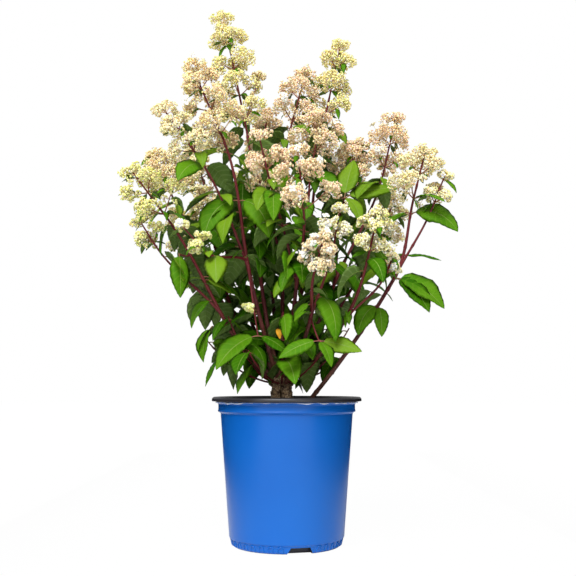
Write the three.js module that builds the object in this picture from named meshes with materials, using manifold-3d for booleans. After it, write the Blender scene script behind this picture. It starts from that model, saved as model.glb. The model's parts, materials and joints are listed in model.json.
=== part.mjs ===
// A panicle hydrangea in a nursery pot, in millimetres, +Z up.
// The origin is the middle of the pot's flat underside. The plant is seen from the front along +Y.
//
// The pot is a thin moulded shell with a rolled lip, filled with growing medium. A short gnarled crown
// stands in the medium, and the canes fan out from it. Each cane is one bare tapering limb, and where
// it enters the foliage it goes on as a mass: forked shoots with leaves in opposite pairs, each shoot
// ending in an open flower panicle. Leafy basal shoots fill the space low down between the canes.

import * as THREE from "three";
import { mergeVertices } from "three/addons/utils/BufferGeometryUtils.js";
import Module from "manifold-3d";

const wasm = await Module();
wasm.setup();

const V = (x, y, z) => new THREE.Vector3(x, y, z);
const UP = V(0, 0, 1);
const TURN = 2 * Math.PI;
const degrees = (angle) => (angle * Math.PI) / 180;

// Driving dimensions.

const GAP = 0.3; // between pieces that touch

const POT_HEIGHT = 228;
const LIP_RADIUS = 115;
const LIP_INNER_RADIUS = 102;
const LIP_THICKNESS = 6.5;
const WALL = 2;
const FOOT_RADIUS = 84;
const FOOT_HEIGHT = 12;
const WALL_FOOT_RADIUS = 88.5;
const WALL_TOP_RADIUS = 101.5;
const COLLAR_RADIUS = 105;
const COLLAR_HEIGHT = 18;
const NOTCHES = 3; // drainage notches round the foot
const NOTCH_BEARING = 14; // degrees from the front towards +X, for the first of them
const NOTCH_WIDTH = 38;
const NOTCH_HEIGHT = 10;
const NOTCH_DEPTH = 15;
const ROUND_SEGMENTS = 32;
const SOIL_TOP = 204;

const CROWN = V(-8, 0, SOIL_TOP);
const CROWN_TOP = 256;
const CROWN_RADIUS = 21;

const CANE_FOOT_RADIUS = 3.3;
const CANE_FORK_RADIUS = 2.5;
const SHOOT_RADIUS = 3; // out to the edges of the three-sided shoots, as are the next three
const SIDE_SHOOT_RADIUS = 2.4;
const BASAL_SHOOT_RADIUS = 2.5;
const RACHIS_TIP_RADIUS = 1.3;
const LEAF_PAIR_SPACING = 46;
const LEAF_LENGTH = 94;
const LEAF_STATIONS = [[0.34, 0.45], [0.67, 0.4]]; // widths along a leaf, in shares of its length
const LEAF_THICKNESS_SHARE = 0.02;
const HEAD_RADIUS = 16; // one bunch of florets at the end of a panicle branch
const TIER_SPACING = 40; // between the whorls of branches up a panicle

// One row for each cane. fork is where the bare cane ends, bow is how far it bulges outwards, swing
// turns its foot round the crown, in degrees, and each shoot that goes on from the fork has the neck and
// the top of its panicle, and the panicle's spread.
const CANES = [
  { name: "front_left", fork: [-55, -48, 411], bow: 5, shoots: [
    { neck: [-95, -85, 610], top: [-141, -95, 715], spread: 92 },
    { neck: [-132, -105, 580], top: [-179, -135, 641], spread: 70 },
    { neck: [-120, -112, 440], top: [-151, -127, 475], spread: 42 } ] },
  { name: "tall", fork: [-38, 0, 394], bow: 4, shoots: [
    { neck: [-65, 10, 655], top: [-101, 20, 830], spread: 88 },
    { neck: [-37, -30, 544], top: [-55, -45, 585], spread: 56 } ] },
  { name: "left", fork: [-95, -24, 346], bow: 8, shoots: [
    { neck: [-182, -50, 500], top: [-236, -60, 572], spread: 96 },
    { neck: [-199, -40, 459], top: [-225, -38, 500], spread: 56 } ] },
  { name: "back_left", fork: [-84, 35, 360], bow: 8, shoots: [
    { neck: [-190, 70, 562], top: [-220, 80, 630], spread: 84 },
    { neck: [-130, 60, 520], top: [-145, 70, 570], spread: 64 } ] },
  { name: "middle", fork: [-6, 46, 413], bow: 4, swing: 8, shoots: [
    { neck: [9, 80, 675], top: [33, 85, 765], spread: 88 },
    { neck: [-37, 110, 607], top: [-34, 120, 708], spread: 88 } ] },
  { name: "tall_right", fork: [30, 45, 437], bow: 5, swing: -44, shoots: [
    { neck: [64, 90, 690], top: [91, 95, 817], spread: 84 },
    { neck: [43, 40, 611], top: [59, 45, 684], spread: 92 } ] },
  { name: "front_middle", fork: [14, -62, 389], bow: 6, shoots: [
    { neck: [24, -110, 495], top: [15, -120, 588], spread: 104 },
    { neck: [-28, -98, 555], top: [-42, -108, 612], spread: 70 } ] },
  { name: "front_low", fork: [33, -83, 336], bow: 8, shoots: [
    { neck: [39, -140, 405], top: [55, -162, 462], spread: 74 },
    { neck: [69, -112, 456], top: [76, -116, 505], spread: 56 } ] },
  { name: "front_right", fork: [84, -58, 339], bow: 10, shoots: [
    { neck: [118, -105, 437], top: [132, -120, 502], spread: 80 },
    { neck: [146, -66, 410], top: [158, -70, 440], spread: 40 } ] },
  { name: "far_right", fork: [162, -20, 406], bow: 10, fromSoil: [17, -18], shoots: [
    { neck: [192, -25, 528], top: [212, -30, 611], spread: 96 },
    { neck: [222, -34, 520], top: [240, -38, 568], spread: 52 } ] },
  { name: "right", fork: [70, 31, 393], bow: 6, shoots: [
    { neck: [157, 60, 594], top: [178, 70, 688], spread: 84 },
    { neck: [97, 90, 578], top: [122, 95, 651], spread: 78 } ] },
  { name: "back_high_left", fork: [-67, 70, 377], bow: 6, swing: -6, shoots: [
    { neck: [-137, 150, 572], top: [-164, 175, 669], spread: 90 } ] },
  { name: "back_middle", fork: [-23, 78, 391], bow: 6, swing: -9, shoots: [
    { neck: [-42, 175, 594], top: [-42, 195, 708], spread: 90 } ] },
  { name: "back_right", fork: [40, 78, 390], bow: 6, shoots: [
    { neck: [96, 165, 574], top: [109, 182, 670], spread: 88 } ] },
  { name: "back_low_left", fork: [-81, 73, 337], bow: 9, swing: 3, shoots: [
    { neck: [-162, 140, 480], top: [-195, 165, 551], spread: 80 } ] },
  { name: "back_low_right", fork: [76, 64, 353], bow: 9, shoots: [
    { neck: [160, 140, 497], top: [188, 162, 576], spread: 84 } ] },
];

// The leafy basal shoots: which way each leans, how far out its tip is and how high above the crown.
const BASAL_SHOOTS = [
  { bearing: 178, reach: 116, rise: 60 },
  { bearing: 215, reach: 96, rise: 92 },
  { bearing: 243, reach: 104, rise: 40 },
  { bearing: 272, reach: 84, rise: 96 },
  { bearing: 306, reach: 92, rise: 30 },
  { bearing: 345, reach: 106, rise: 76 },
  { bearing: 18, reach: 104, rise: 36 },
  { bearing: 58, reach: 96, rise: 66 },
  { bearing: 96, reach: 104, rise: 40 },
  { bearing: 142, reach: 100, rise: 72 },
];

// Seeded chance.

let seed = 20240;

// The next number of a fixed sequence, from 0 up to 1.
function chance() {
  seed = (Math.imul(seed, 1664525) + 1013904223) >>> 0;
  return seed / 4294967296;
}

const between = (low, high) => low + (high - low) * chance();

// Closed meshes and solids.

// A closed mesh through rings of equal point counts. Each end is a flat cap, or a point if one is given.
function closedLoft(rings, root, tip) {
  const size = rings[0].length;
  const points = rings.flat();
  const faces = [];
  const last = (rings.length - 1) * size;
  for (let r = 0; r + 1 < rings.length; r++)
    for (let i = 0; i < size; i++) {
      const [a, b] = [r * size + i, r * size + ((i + 1) % size)];
      faces.push([a, b, b + size], [a, b + size, a + size]);
    }
  for (const [point, first, order] of [[root, 0, -1], [tip, last, 1]]) {
    const face = (a, b, c) => faces.push(order > 0 ? [a, b, c] : [a, c, b]);
    if (point) {
      points.push(point);
      for (let i = 0; i < size; i++) face(first + i, first + ((i + 1) % size), points.length - 1);
    } else {
      for (let i = 1; i + 1 < size; i++) face(first, first + i, first + i + 1);
    }
  }
  const volume = faces.reduce(
    (sum, [a, b, c]) => sum + points[a].dot(points[b].clone().cross(points[c])), 0);
  if (volume < 0) faces.forEach((face) => face.reverse());
  return new THREE.BufferGeometry()
    .setFromPoints(points)
    .setIndex(faces.flat());
}

// A tapering limb along a curve, with flat ends square to it.
function limb(curve, startRadius, endRadius, sides, steps) {
  const frames = curve.computeFrenetFrames(steps, false);
  const rings = frames.tangents.map((_, step) => {
    const share = step / steps;
    const radius = startRadius + (endRadius - startRadius) * share;
    return Array.from({ length: sides }, (_, i) => {
      const angle = (TURN * i) / sides;
      return curve.getPointAt(share)
        .addScaledVector(frames.normals[step], radius * Math.cos(angle))
        .addScaledVector(frames.binormals[step], radius * Math.sin(angle));
    });
  });
  return closedLoft(rings);
}

function solidOf(geometry) {
  const bare = geometry.clone();
  bare.deleteAttribute("normal");
  bare.deleteAttribute("uv");
  const merged = mergeVertices(bare, 1e-3);
  return new wasm.Manifold(new wasm.Mesh({
    numProp: 3,
    vertProperties: new Float32Array(merged.attributes.position.array),
    triVerts: new Uint32Array(merged.index.array),
  }));
}

function geometryOf(solid) {
  const mesh = solid.getMesh();
  return new THREE.BufferGeometry()
    .setAttribute("position", new THREE.BufferAttribute(mesh.vertProperties, 3))
    .setIndex(new THREE.BufferAttribute(mesh.triVerts, 1));
}

const joined = (solids) => solids.reduce((whole, solid) => whole.add(solid));

// The largest connected body of a solid, without the loose scraps.
const largest = (solid) =>
  solid.decompose().reduce((best, body) => (body.volume() > best.volume() ? body : best));

// Materials.

const material = (colour, roughness) =>
  new THREE.MeshStandardMaterial({ color: colour, roughness, metalness: 0 });

const BLUE_PLASTIC = material(0x1f66c4, 0.42);
const BLACK_PLASTIC = material(0x17151c, 0.45);
const GROWING_MEDIUM = material(0x3a2a1e, 0.95);
const OLD_BARK = material(0x86684c, 0.9);
const CANE_BARK = material(0x6d2530, 0.6);
const FOLIAGE = material(0x3f7a22, 0.55);

const plant = new THREE.Group();

function addNode(name, geometry, finish) {
  const mesh = new THREE.Mesh(geometry, finish);
  mesh.name = name;
  plant.add(mesh);
}

// Pot.

const lathe = (profile) =>
  new THREE.LatheGeometry(profile.map(([r, z]) => new THREE.Vector2(r, z)), ROUND_SEGMENTS)
    .rotateX(Math.PI / 2);

// The notches that let water out all round the foot, each with sloping cheeks, grown by a margin.
function notchSolid(margin) {
  const halfTop = NOTCH_WIDTH / 2 - 4.5 + margin;
  const halfFoot = NOTCH_WIDTH / 2 + margin;
  const shape = new THREE.Shape([
    new THREE.Vector2(-halfFoot, -10),
    new THREE.Vector2(halfFoot, -10),
    new THREE.Vector2(halfFoot, 1),
    new THREE.Vector2(halfTop, NOTCH_HEIGHT + margin),
    new THREE.Vector2(-halfTop, NOTCH_HEIGHT + margin),
    new THREE.Vector2(-halfFoot, 1),
  ]);
  const inner = FOOT_RADIUS - NOTCH_DEPTH - margin;
  const bar = new THREE.ExtrudeGeometry(shape, { depth: NOTCH_DEPTH + 20, bevelEnabled: false })
    .rotateX(Math.PI / 2)
    .translate(0, -inner, 0);
  return joined(Array.from({ length: NOTCHES }, (_, i) =>
    solidOf(bar.clone().rotateZ((TURN * i) / NOTCHES + degrees(NOTCH_BEARING)))));
}

const WALL_TOP = POT_HEIGHT - LIP_THICKNESS - GAP;
const COLLAR_FOOT = WALL_TOP - COLLAR_HEIGHT;

const POT_OUTSIDE = [
  [0, 0],
  [FOOT_RADIUS - 3, 0],
  [FOOT_RADIUS, 3],
  [WALL_FOOT_RADIUS - 2.5, FOOT_HEIGHT],
  [WALL_FOOT_RADIUS, FOOT_HEIGHT + 2],
  [WALL_TOP_RADIUS, COLLAR_FOOT],
  [COLLAR_RADIUS + 1, COLLAR_FOOT + 3],
  [COLLAR_RADIUS, COLLAR_FOOT + 6],
  [COLLAR_RADIUS, WALL_TOP - 4],
  [COLLAR_RADIUS + 3.8, WALL_TOP - 1],
  [COLLAR_RADIUS + 3, WALL_TOP],
  [0, WALL_TOP],
];

// The room inside the wall, made smaller all round by an inset, up to a height.
const potInside = (inset, top) => [
  [0, WALL + inset],
  [FOOT_RADIUS - WALL - inset, WALL + inset],
  [WALL_FOOT_RADIUS - WALL - inset, FOOT_HEIGHT + 4],
  [WALL_TOP_RADIUS - WALL - inset, COLLAR_FOOT],
  [WALL_TOP_RADIUS - inset, Math.max(top, COLLAR_FOOT + 0.1)],
  [0, Math.max(top, COLLAR_FOOT + 0.1)],
];

function potWall() {
  const outside = solidOf(lathe(POT_OUTSIDE)).subtract(notchSolid(0));
  const inside = solidOf(lathe(potInside(0, WALL_TOP + 5))).subtract(notchSolid(WALL));
  return outside.subtract(inside);
}

function potLip() {
  const [low, high] = [POT_HEIGHT - LIP_THICKNESS, POT_HEIGHT];
  return lathe([
    [LIP_INNER_RADIUS, low],
    [LIP_RADIUS - 2, low],
    [LIP_RADIUS, low + 2],
    [LIP_RADIUS, high - 2],
    [LIP_RADIUS - 2, high],
    [LIP_INNER_RADIUS + 2, high],
    [LIP_INNER_RADIUS, low],
  ]);
}

function growingMedium() {
  const full = lathe([
    ...potInside(GAP, SOIL_TOP).slice(0, 4).map(([r, z]) => [r, Math.min(z, SOIL_TOP - 3)]),
    [WALL_TOP_RADIUS - WALL - GAP - 6, SOIL_TOP],
    [0, SOIL_TOP],
  ]);
  return solidOf(full).subtract(notchSolid(WALL + GAP));
}

addNode("pot_wall", geometryOf(potWall()), BLUE_PLASTIC);
addNode("pot_lip", potLip(), BLACK_PLASTIC);
addNode("growing_medium", geometryOf(growingMedium()), GROWING_MEDIUM);

// Crown.

// Three old stubs side by side under one knobbly burl, cut flat at the soil, grown by a margin.
function crownSolid(margin) {
  const stub = (x, y, lean, radius) =>
    solidOf(limb(
      new THREE.QuadraticBezierCurve3(
        V(CROWN.x + x * 1.25, y * 1.25, SOIL_TOP - 6),
        V(CROWN.x + x + lean, y, SOIL_TOP + 24),
        V(CROWN.x + x * 0.55, y * 0.55, CROWN_TOP - 2)),
      radius * 1.25 + margin, radius * 0.95 + margin, 7, 2));
  const burl = new THREE.IcosahedronGeometry(1, 1)
    .scale(CROWN_RADIUS + margin, CROWN_RADIUS * 0.86 + margin, CROWN_RADIUS * 0.62 + margin)
    .translate(CROWN.x, CROWN.y, CROWN_TOP - 4);
  const below = new THREE.BoxGeometry(400, 400, 40).translate(0, 0, SOIL_TOP + GAP - 20);
  return joined([stub(-10.5, -3, -3, 9), stub(9.5, -2, 2, 10.5), stub(-1, 9, 0, 9), solidOf(burl)])
    .subtract(solidOf(below));
}

const crownWithGap = crownSolid(GAP);
addNode("crown", geometryOf(crownSolid(0)), OLD_BARK);

// Space.

// What already stands, so that nothing added later touches it.
const standing = [];

const boxesMeet = (a, b) =>
  a.min.every((low, i) => low < b.max[i]) && b.min.every((low, i) => low < a.max[i]);

// True if a solid, already grown by its clearance, meets nothing that isn't its owner's.
function isClear(solid, owner) {
  const box = solid.boundingBox();
  return standing.every((other) =>
    other.owner === owner || !boxesMeet(box, other.box) || other.solid.intersect(solid).isEmpty());
}

// True if a solid meets nothing else of its owner's but the stem that it grows from.
function isFree(solid, owner, stem) {
  const box = solid.boundingBox();
  return standing.every((other) =>
    other.owner !== owner || other.solid === stem || !boxesMeet(box, other.box) ||
    other.solid.intersect(solid).isEmpty());
}

function stand(solid, owner) {
  standing.push({ solid, owner, box: solid.boundingBox() });
}

stand(solidOf(potLip()), "pot");
stand(potWall(), "pot");
stand(growingMedium(), "pot");
stand(crownSolid(0), "crown");

// Canes.

const CLEARANCE = 0.5;

// A cane leaves the crown's burl the way it leans, so that the canes fan out without crossing.
function caneFoot(fork, swing) {
  const away = fork.clone().sub(V(CROWN.x, CROWN.y, CROWN_TOP));
  const bearing = Math.atan2(away.y, away.x) + degrees(swing);
  const climb = Math.atan2(away.z, Math.hypot(away.x, away.y));
  const tilt = THREE.MathUtils.mapLinear(climb, degrees(42), degrees(78), degrees(8), degrees(78));
  const reach = CROWN_RADIUS * 0.78;
  return V(
    CROWN.x + reach * Math.cos(tilt) * Math.cos(bearing),
    CROWN.y + reach * Math.cos(tilt) * Math.sin(bearing),
    CROWN_TOP - 6 + reach * 0.6 * Math.sin(tilt));
}

// The line of a bare cane, which bulges outwards between its foot and its fork.
function caneLine(cane) {
  const fork = V(...cane.fork);
  const foot = cane.fromSoil ? V(...cane.fromSoil, SOIL_TOP - 2) : caneFoot(fork, cane.swing ?? 0);
  const outward = V(fork.x - foot.x, fork.y - foot.y, 0).normalize();
  const control = foot.clone().lerp(fork, 0.5)
    .addScaledVector(outward, cane.bow)
    .addScaledVector(UP, -cane.bow * 0.7);
  return new THREE.QuadraticBezierCurve3(foot, control, fork);
}

const soilWithGap = solidOf(
  new THREE.BoxGeometry(400, 400, 40).translate(0, 0, SOIL_TOP + GAP - 20));

for (const cane of CANES) {
  cane.line = caneLine(cane);
  const shape = (margin) =>
    solidOf(limb(cane.line, CANE_FOOT_RADIUS + margin, CANE_FORK_RADIUS + margin, 5, 4));
  const solid = largest(shape(0).subtract(crownWithGap).subtract(soilWithGap));
  if (!isClear(shape(CLEARANCE - 0.2).subtract(crownWithGap).subtract(soilWithGap), "crown"))
    console.log("cane " + cane.name + " touches what stands");
  addNode("cane_" + cane.name, geometryOf(solid), CANE_BARK);
  stand(solid, "cane_" + cane.name);
}

// Leaves.

// A drooping leaf, flat above and keeled below along its midrib, that starts as a point sunk into the
// stem. It grows along bearing, starts at the rising angle, ends at the falling one and rolls sideways.
function leaf(root, { bearing, length, rising, falling, roll }, margin, sunk = 0.8) {
  const outward = V(Math.cos(bearing), Math.sin(bearing), 0);
  const sideways = V(-Math.sin(bearing), Math.cos(bearing), 0);
  const steps = 12;
  const spine = [root.clone()];
  for (let i = 0; i < steps; i++) {
    const angle = rising + (falling - rising) * ((i + 0.5) / steps);
    spine.push(spine[i].clone()
      .addScaledVector(outward, (length / steps) * Math.cos(angle))
      .addScaledVector(UP, (length / steps) * Math.sin(angle)));
  }
  const rings = LEAF_STATIONS.map(([at, widthShare]) => {
    const middle = spine[Math.round(at * steps)];
    const angle = rising + (falling - rising) * at;
    const half = (length * widthShare) / 2;
    const thick = length * LEAF_THICKNESS_SHARE;
    const upward = outward.clone().multiplyScalar(-Math.sin(angle)).addScaledVector(UP, Math.cos(angle));
    const across = sideways.clone().multiplyScalar(Math.cos(roll)).addScaledVector(upward, Math.sin(roll));
    const face = upward.multiplyScalar(Math.cos(roll)).addScaledVector(sideways, -Math.sin(roll));
    return [
      middle.clone().addScaledVector(across, half + margin).addScaledVector(face, thick / 2 + margin),
      middle.clone().addScaledVector(across, -half - margin).addScaledVector(face, thick / 2 + margin),
      middle.clone().addScaledVector(face, -thick / 2 - margin),
    ];
  });
  const start = root.clone()
    .addScaledVector(outward, -sunk * Math.cos(rising))
    .addScaledVector(UP, -sunk * Math.sin(rising));
  return solidOf(closedLoft(rings, start, spine[steps].addScaledVector(outward, margin)));
}

// Tries a leaf at a few angles, adds the first that is clear of everything else, or skips it.
function growLeaf(mass, stem, root, bearing, length) {
  for (let attempt = 0; attempt < 8; attempt++) {
    const pose = {
      bearing: bearing + degrees(between(-24, 24)),
      length: length * (1 - 0.06 * attempt),
      rising: degrees(between(5, 45)),
      falling: degrees(between(-100, -55)),
      roll: degrees(between(-50, 50)),
    };
    if (!isClear(leaf(root, pose, CLEARANCE), mass.owner)) continue;
    if (!isFree(leaf(root, pose, 0, -1.5), mass.owner, stem)) continue;
    const solid = leaf(root, pose, 0);
    mass.parts.push(solid);
    stand(solid, mass.owner);
    return;
  }
}

// Leaves in opposite pairs up a stem, each pair turned a quarter from the one below it.
function growPairs(mass, stem, line, from, to, spacing) {
  const whole = line.getLength();
  const pairs = Math.max(1, Math.round((whole * (to - from)) / spacing));
  const start = between(0, TURN);
  for (let pair = 0; pair < pairs; pair++) {
    const share = from + ((to - from) * (pair + 0.5)) / pairs;
    const root = line.getPointAt(share);
    for (const side of [0, 0.5]) {
      const bearing = start + TURN * (side + pair / 4);
      growLeaf(mass, stem, root, bearing, LEAF_LENGTH * (1 - 0.3 * share) * between(0.86, 1.08));
    }
  }
}

// Panicles.

// A bunch of florets on its stalk, which starts as a point inside the stem: the stalk widens into a
// bowl with a domed top.
function head(from, to, radius, margin) {
  const axis = to.clone().sub(from).normalize();
  const side = axis.clone().cross(Math.abs(axis.z) > 0.9 ? V(1, 0, 0) : UP).normalize();
  const other = axis.clone().cross(side);
  const ring = (along, ringRadius, twist) =>
    Array.from({ length: 4 }, (_, i) => to.clone()
      .addScaledVector(axis, along)
      .addScaledVector(side, (ringRadius + margin) * Math.cos((TURN * i) / 4 + twist))
      .addScaledVector(other, (ringRadius + margin) * Math.sin((TURN * i) / 4 + twist)));
  return solidOf(closedLoft(
    [ring(-radius * 0.85 - margin, radius * 0.36, 0.4), ring(0, radius * 1.1, 1)],
    from.clone().addScaledVector(axis, -0.6),
    to.clone().addScaledVector(axis, radius * 0.66 + margin)));
}

// Adds a head if it is clear of everything else, and says whether it was.
function growHead(mass, stem, from, to, radius) {
  if (!isClear(head(from, to, radius, CLEARANCE), mass.owner)) return false;
  if (!isFree(head(from.clone().lerp(to, 0.1), to, radius * 0.72, 0), mass.owner, stem)) return false;
  const solid = head(from, to, radius, 0);
  stand(solid, mass.owner);
  mass.parts.push(solid);
  return true;
}

// Whorls of three branches up the axis, shorter towards the top, each ending in a head of florets, with
// one head on the very top. A branch that finds no room tries a few other directions.
function growPanicle(mass, stem, neck, top, spread) {
  const axis = top.clone().sub(neck);
  const length = axis.length();
  axis.normalize();
  const side = axis.clone().cross(UP).normalize();
  const other = axis.clone().cross(side);
  const radius = Math.min(HEAD_RADIUS, spread * 0.2);
  const tiers = Math.max(1, Math.round(length / TIER_SPACING));
  const start = between(0, TURN);
  const tipFrom = top.clone().addScaledVector(axis, -length * 0.3);
  growHead(mass, stem, tipFrom, top.clone().addScaledVector(axis, -radius * 0.6), radius * 0.9);
  for (let tier = 0; tier < tiers; tier++)
    for (let branch = 0; branch < 3; branch++) {
      const share = tier / (tiers + 0.35);
      const from = neck.clone().addScaledVector(axis, length * share);
      for (let attempt = 0; attempt < 5; attempt++) {
        const angle = start + TURN * (branch / 3 + tier / 6) + between(-0.2, 0.2) * (1 + attempt);
        const reach = (spread / 2 - radius * 0.8) * (1 - 0.55 * share) * between(0.84, 1.14);
        const to = from.clone()
          .addScaledVector(side, reach * Math.cos(angle))
          .addScaledVector(other, reach * Math.sin(angle))
          .addScaledVector(axis, reach * 0.55 + 4);
        const size = radius * (1 - 0.2 * share) * between(0.88, 1.12);
        if (growHead(mass, stem, from, to, size)) break;
      }
    }
}

// Masses.

// The line of a shoot up to the neck of its panicle. The first shoot goes on from the cane's end, and
// the others branch off it a little further up.
function shootLine(cane, shoot, rank) {
  const main = cane.shoots[0].line;
  const neck = V(...shoot.neck);
  const heading = rank ? main.getTangentAt(0.1) : cane.line.getTangentAt(1);
  const start = rank ? main.getPointAt(0.05 * rank) : V(...cane.fork).addScaledVector(heading, GAP);
  const lean = V(...shoot.top).sub(neck).normalize();
  if (rank) heading.lerp(neck.clone().sub(start).normalize(), 0.8).normalize();
  const stride = start.distanceTo(neck) * 0.36;
  return new THREE.CubicBezierCurve3(
    start,
    start.clone().addScaledVector(heading, stride),
    neck.clone().addScaledVector(lean, -stride),
    neck);
}

for (const cane of CANES) {
  cane.owner = "mass_" + cane.name;
  cane.parts = [];
  cane.shoots.forEach((shoot, rank) => {
    shoot.line = shootLine(cane, shoot, rank);
    const end = V(...shoot.top).lerp(V(...shoot.neck), 0.12);
    const whole = new THREE.CatmullRomCurve3([...shoot.line.getSpacedPoints(5), end]);
    const start = rank ? SIDE_SHOOT_RADIUS : SHOOT_RADIUS;
    shoot.stem = solidOf(limb(whole, start, RACHIS_TIP_RADIUS, 3, 5));
    if (!isClear(shoot.stem, cane.owner)) console.log("a shoot of " + cane.name + " touches another mass");
    cane.parts.push(shoot.stem);
    stand(shoot.stem, cane.owner);
  });
}

// A basal shoot leaves the side of the crown and curves up and out.
BASAL_SHOOTS.forEach((shoot, i) => {
  shoot.owner = "basal_shoot_" + (i + 1);
  shoot.parts = [];
  const bearing = degrees(shoot.bearing);
  const outward = V(Math.cos(bearing), Math.sin(bearing), 0);
  const from = V(CROWN.x, CROWN.y, CROWN_TOP - 20).addScaledVector(outward, CROWN_RADIUS * 0.4);
  const to = V(CROWN.x, CROWN.y, CROWN_TOP + shoot.rise).addScaledVector(outward, shoot.reach);
  const bend = V(CROWN.x, CROWN.y, CROWN_TOP - 14).addScaledVector(outward, shoot.reach * 0.62);
  shoot.line = new THREE.QuadraticBezierCurve3(from, bend, to);
  shoot.stem = largest(solidOf(limb(shoot.line, BASAL_SHOOT_RADIUS, RACHIS_TIP_RADIUS, 3, 5)).subtract(crownWithGap));
  if (!isClear(shoot.stem, shoot.owner)) console.log(shoot.owner + " touches what stands");
  shoot.parts.push(shoot.stem);
  stand(shoot.stem, shoot.owner);
});

for (const cane of CANES)
  for (const shoot of cane.shoots)
    growPanicle(cane, shoot.stem, V(...shoot.neck), V(...shoot.top), shoot.spread);

for (const cane of CANES)
  for (const shoot of cane.shoots)
    growPairs(cane, shoot.stem, shoot.line, 0.05, 0.97, LEAF_PAIR_SPACING);

for (const shoot of BASAL_SHOOTS)
  growPairs(shoot, shoot.stem, shoot.line, 0.25, 1.1, LEAF_PAIR_SPACING * 0.8);

for (const mass of [...CANES, ...BASAL_SHOOTS])
  addNode(mass.owner, geometryOf(largest(joined(mass.parts))), FOLIAGE);

export default plant;
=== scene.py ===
# %% [markdown]
# # A panicle hydrangea in a nursery pot
#
# The object is a young flowering shrub in a blue plastic pot with a black lip. Burgundy canes fan out
# from a short gnarled crown. They carry toothed leaves in opposite pairs, and each shoot ends in a loose
# panicle: whorls of stalks that hold bunches of cream, lime and blush florets.
#
# The plant could be modelled stalk by stalk, or grown by a rule. It is grown here, because the solids of
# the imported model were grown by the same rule, so every cane, leaf and bunch of florets stands where its
# solid does, and then goes on into finer parts.

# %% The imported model
import copy
import json
import math

import bpy
import numpy as np
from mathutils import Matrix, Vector, noise

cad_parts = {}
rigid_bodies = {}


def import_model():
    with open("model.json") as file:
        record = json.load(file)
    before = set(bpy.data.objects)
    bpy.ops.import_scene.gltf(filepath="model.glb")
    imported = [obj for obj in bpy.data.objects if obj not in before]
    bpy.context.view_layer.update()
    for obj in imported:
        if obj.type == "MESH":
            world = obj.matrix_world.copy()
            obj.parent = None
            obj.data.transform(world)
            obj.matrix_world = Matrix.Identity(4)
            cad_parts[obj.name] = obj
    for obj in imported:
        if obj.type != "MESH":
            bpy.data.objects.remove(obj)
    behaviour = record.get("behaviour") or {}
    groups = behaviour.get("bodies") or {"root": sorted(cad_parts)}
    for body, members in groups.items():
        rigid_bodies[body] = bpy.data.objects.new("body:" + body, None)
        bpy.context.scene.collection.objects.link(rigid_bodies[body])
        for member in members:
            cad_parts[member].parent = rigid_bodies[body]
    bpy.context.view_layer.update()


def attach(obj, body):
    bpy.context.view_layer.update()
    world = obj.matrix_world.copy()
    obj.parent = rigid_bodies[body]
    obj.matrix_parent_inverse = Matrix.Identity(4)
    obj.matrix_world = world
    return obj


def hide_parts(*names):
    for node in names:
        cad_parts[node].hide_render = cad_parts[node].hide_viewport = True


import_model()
MM = 0.001

# %% [markdown]
# ## Camera, floor and light
#
# The photograph was taken from just above the pot's lip, so the lip is a thin ellipse, the foot is a rounder
# one, and the plant is seen straight on. The camera could be placed by eye. Here it looks level, and its
# height, distance, lens and shift come from those two ellipses and the heights of foot and topmost panicle.
#
# The plant stands in soft white light from the front and above, before a white sheet. One lamp could do it,
# but would leave hard shadows. A wide, soft sun gives the leaves their light side, a white world that is
# dimmer than it looks to the camera keeps the inside of the bush dark, and two tall lamps give the pot its
# pale upright bands.

# %% Camera
CAMERA_ASIDE, CAMERA_AWAY, CAMERA_HEIGHT = 2, 1400, 250  # from the pot's axis and the ground, in mm
camera = bpy.data.objects.new("camera", bpy.data.cameras.new("camera"))
camera.data.lens = 56.8
camera.data.sensor_width = 36
camera.data.shift_y = 0.164
camera.location = (CAMERA_ASIDE * MM, -CAMERA_AWAY * MM, CAMERA_HEIGHT * MM)
camera.rotation_euler = (math.radians(90), 0, 0)
bpy.context.scene.collection.objects.link(camera)
bpy.context.scene.camera = camera
print("the camera stands", CAMERA_AWAY, "mm away and", CAMERA_HEIGHT, "mm up, and looks level")

# %% Light
LIGHT_ON_PLANT, LIGHT_IN_VIEW = 0.45, 1.0  # how bright the world is to the plant, and to the camera
world = bpy.data.worlds.new("white studio")
world.use_nodes = True
sky = world.node_tree
background = sky.nodes["Background"]
background.inputs["Color"].default_value = (1, 1, 1, 1)
seen = sky.nodes.new("ShaderNodeLightPath")
level = sky.nodes.new("ShaderNodeMapRange")
level.inputs["To Min"].default_value = LIGHT_ON_PLANT
level.inputs["To Max"].default_value = LIGHT_IN_VIEW
sky.links.new(seen.outputs["Is Camera Ray"], level.inputs["Value"])
sky.links.new(level.outputs["Result"], background.inputs["Strength"])
bpy.context.scene.world = world
bpy.context.scene.view_settings.view_transform = "Standard"

sun = bpy.data.objects.new("soft_sun", bpy.data.lights.new("soft_sun", "SUN"))
sun.data.energy = 3.85
sun.data.angle = math.radians(35)
sun.rotation_euler = Vector((0.27, 0.90, -1.05)).to_track_quat("-Z", "Y").to_euler()
bpy.context.scene.collection.objects.link(sun)


def soft_lamp(name, place, aim, size, power):
    """A large square lamp that points from place to aim."""
    data = bpy.data.lights.new(name, "AREA")
    data.shape = "RECTANGLE"
    data.size, data.size_y = size
    data.energy = power
    lamp = bpy.data.objects.new(name, data)
    lamp.location = place
    lamp.rotation_euler = (Vector(aim) - Vector(place)).to_track_quat("-Z", "Y").to_euler()
    bpy.context.scene.collection.objects.link(lamp)


LAMP_AIM = (0, 0, 0.35)
soft_lamp("lamp_left", (-1.6, -1.7, 0.9), LAMP_AIM, (0.35, 1.6), 3)
soft_lamp("lamp_right", (0.9, -2.2, 0.9), LAMP_AIM, (0.30, 1.6), 5)


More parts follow.
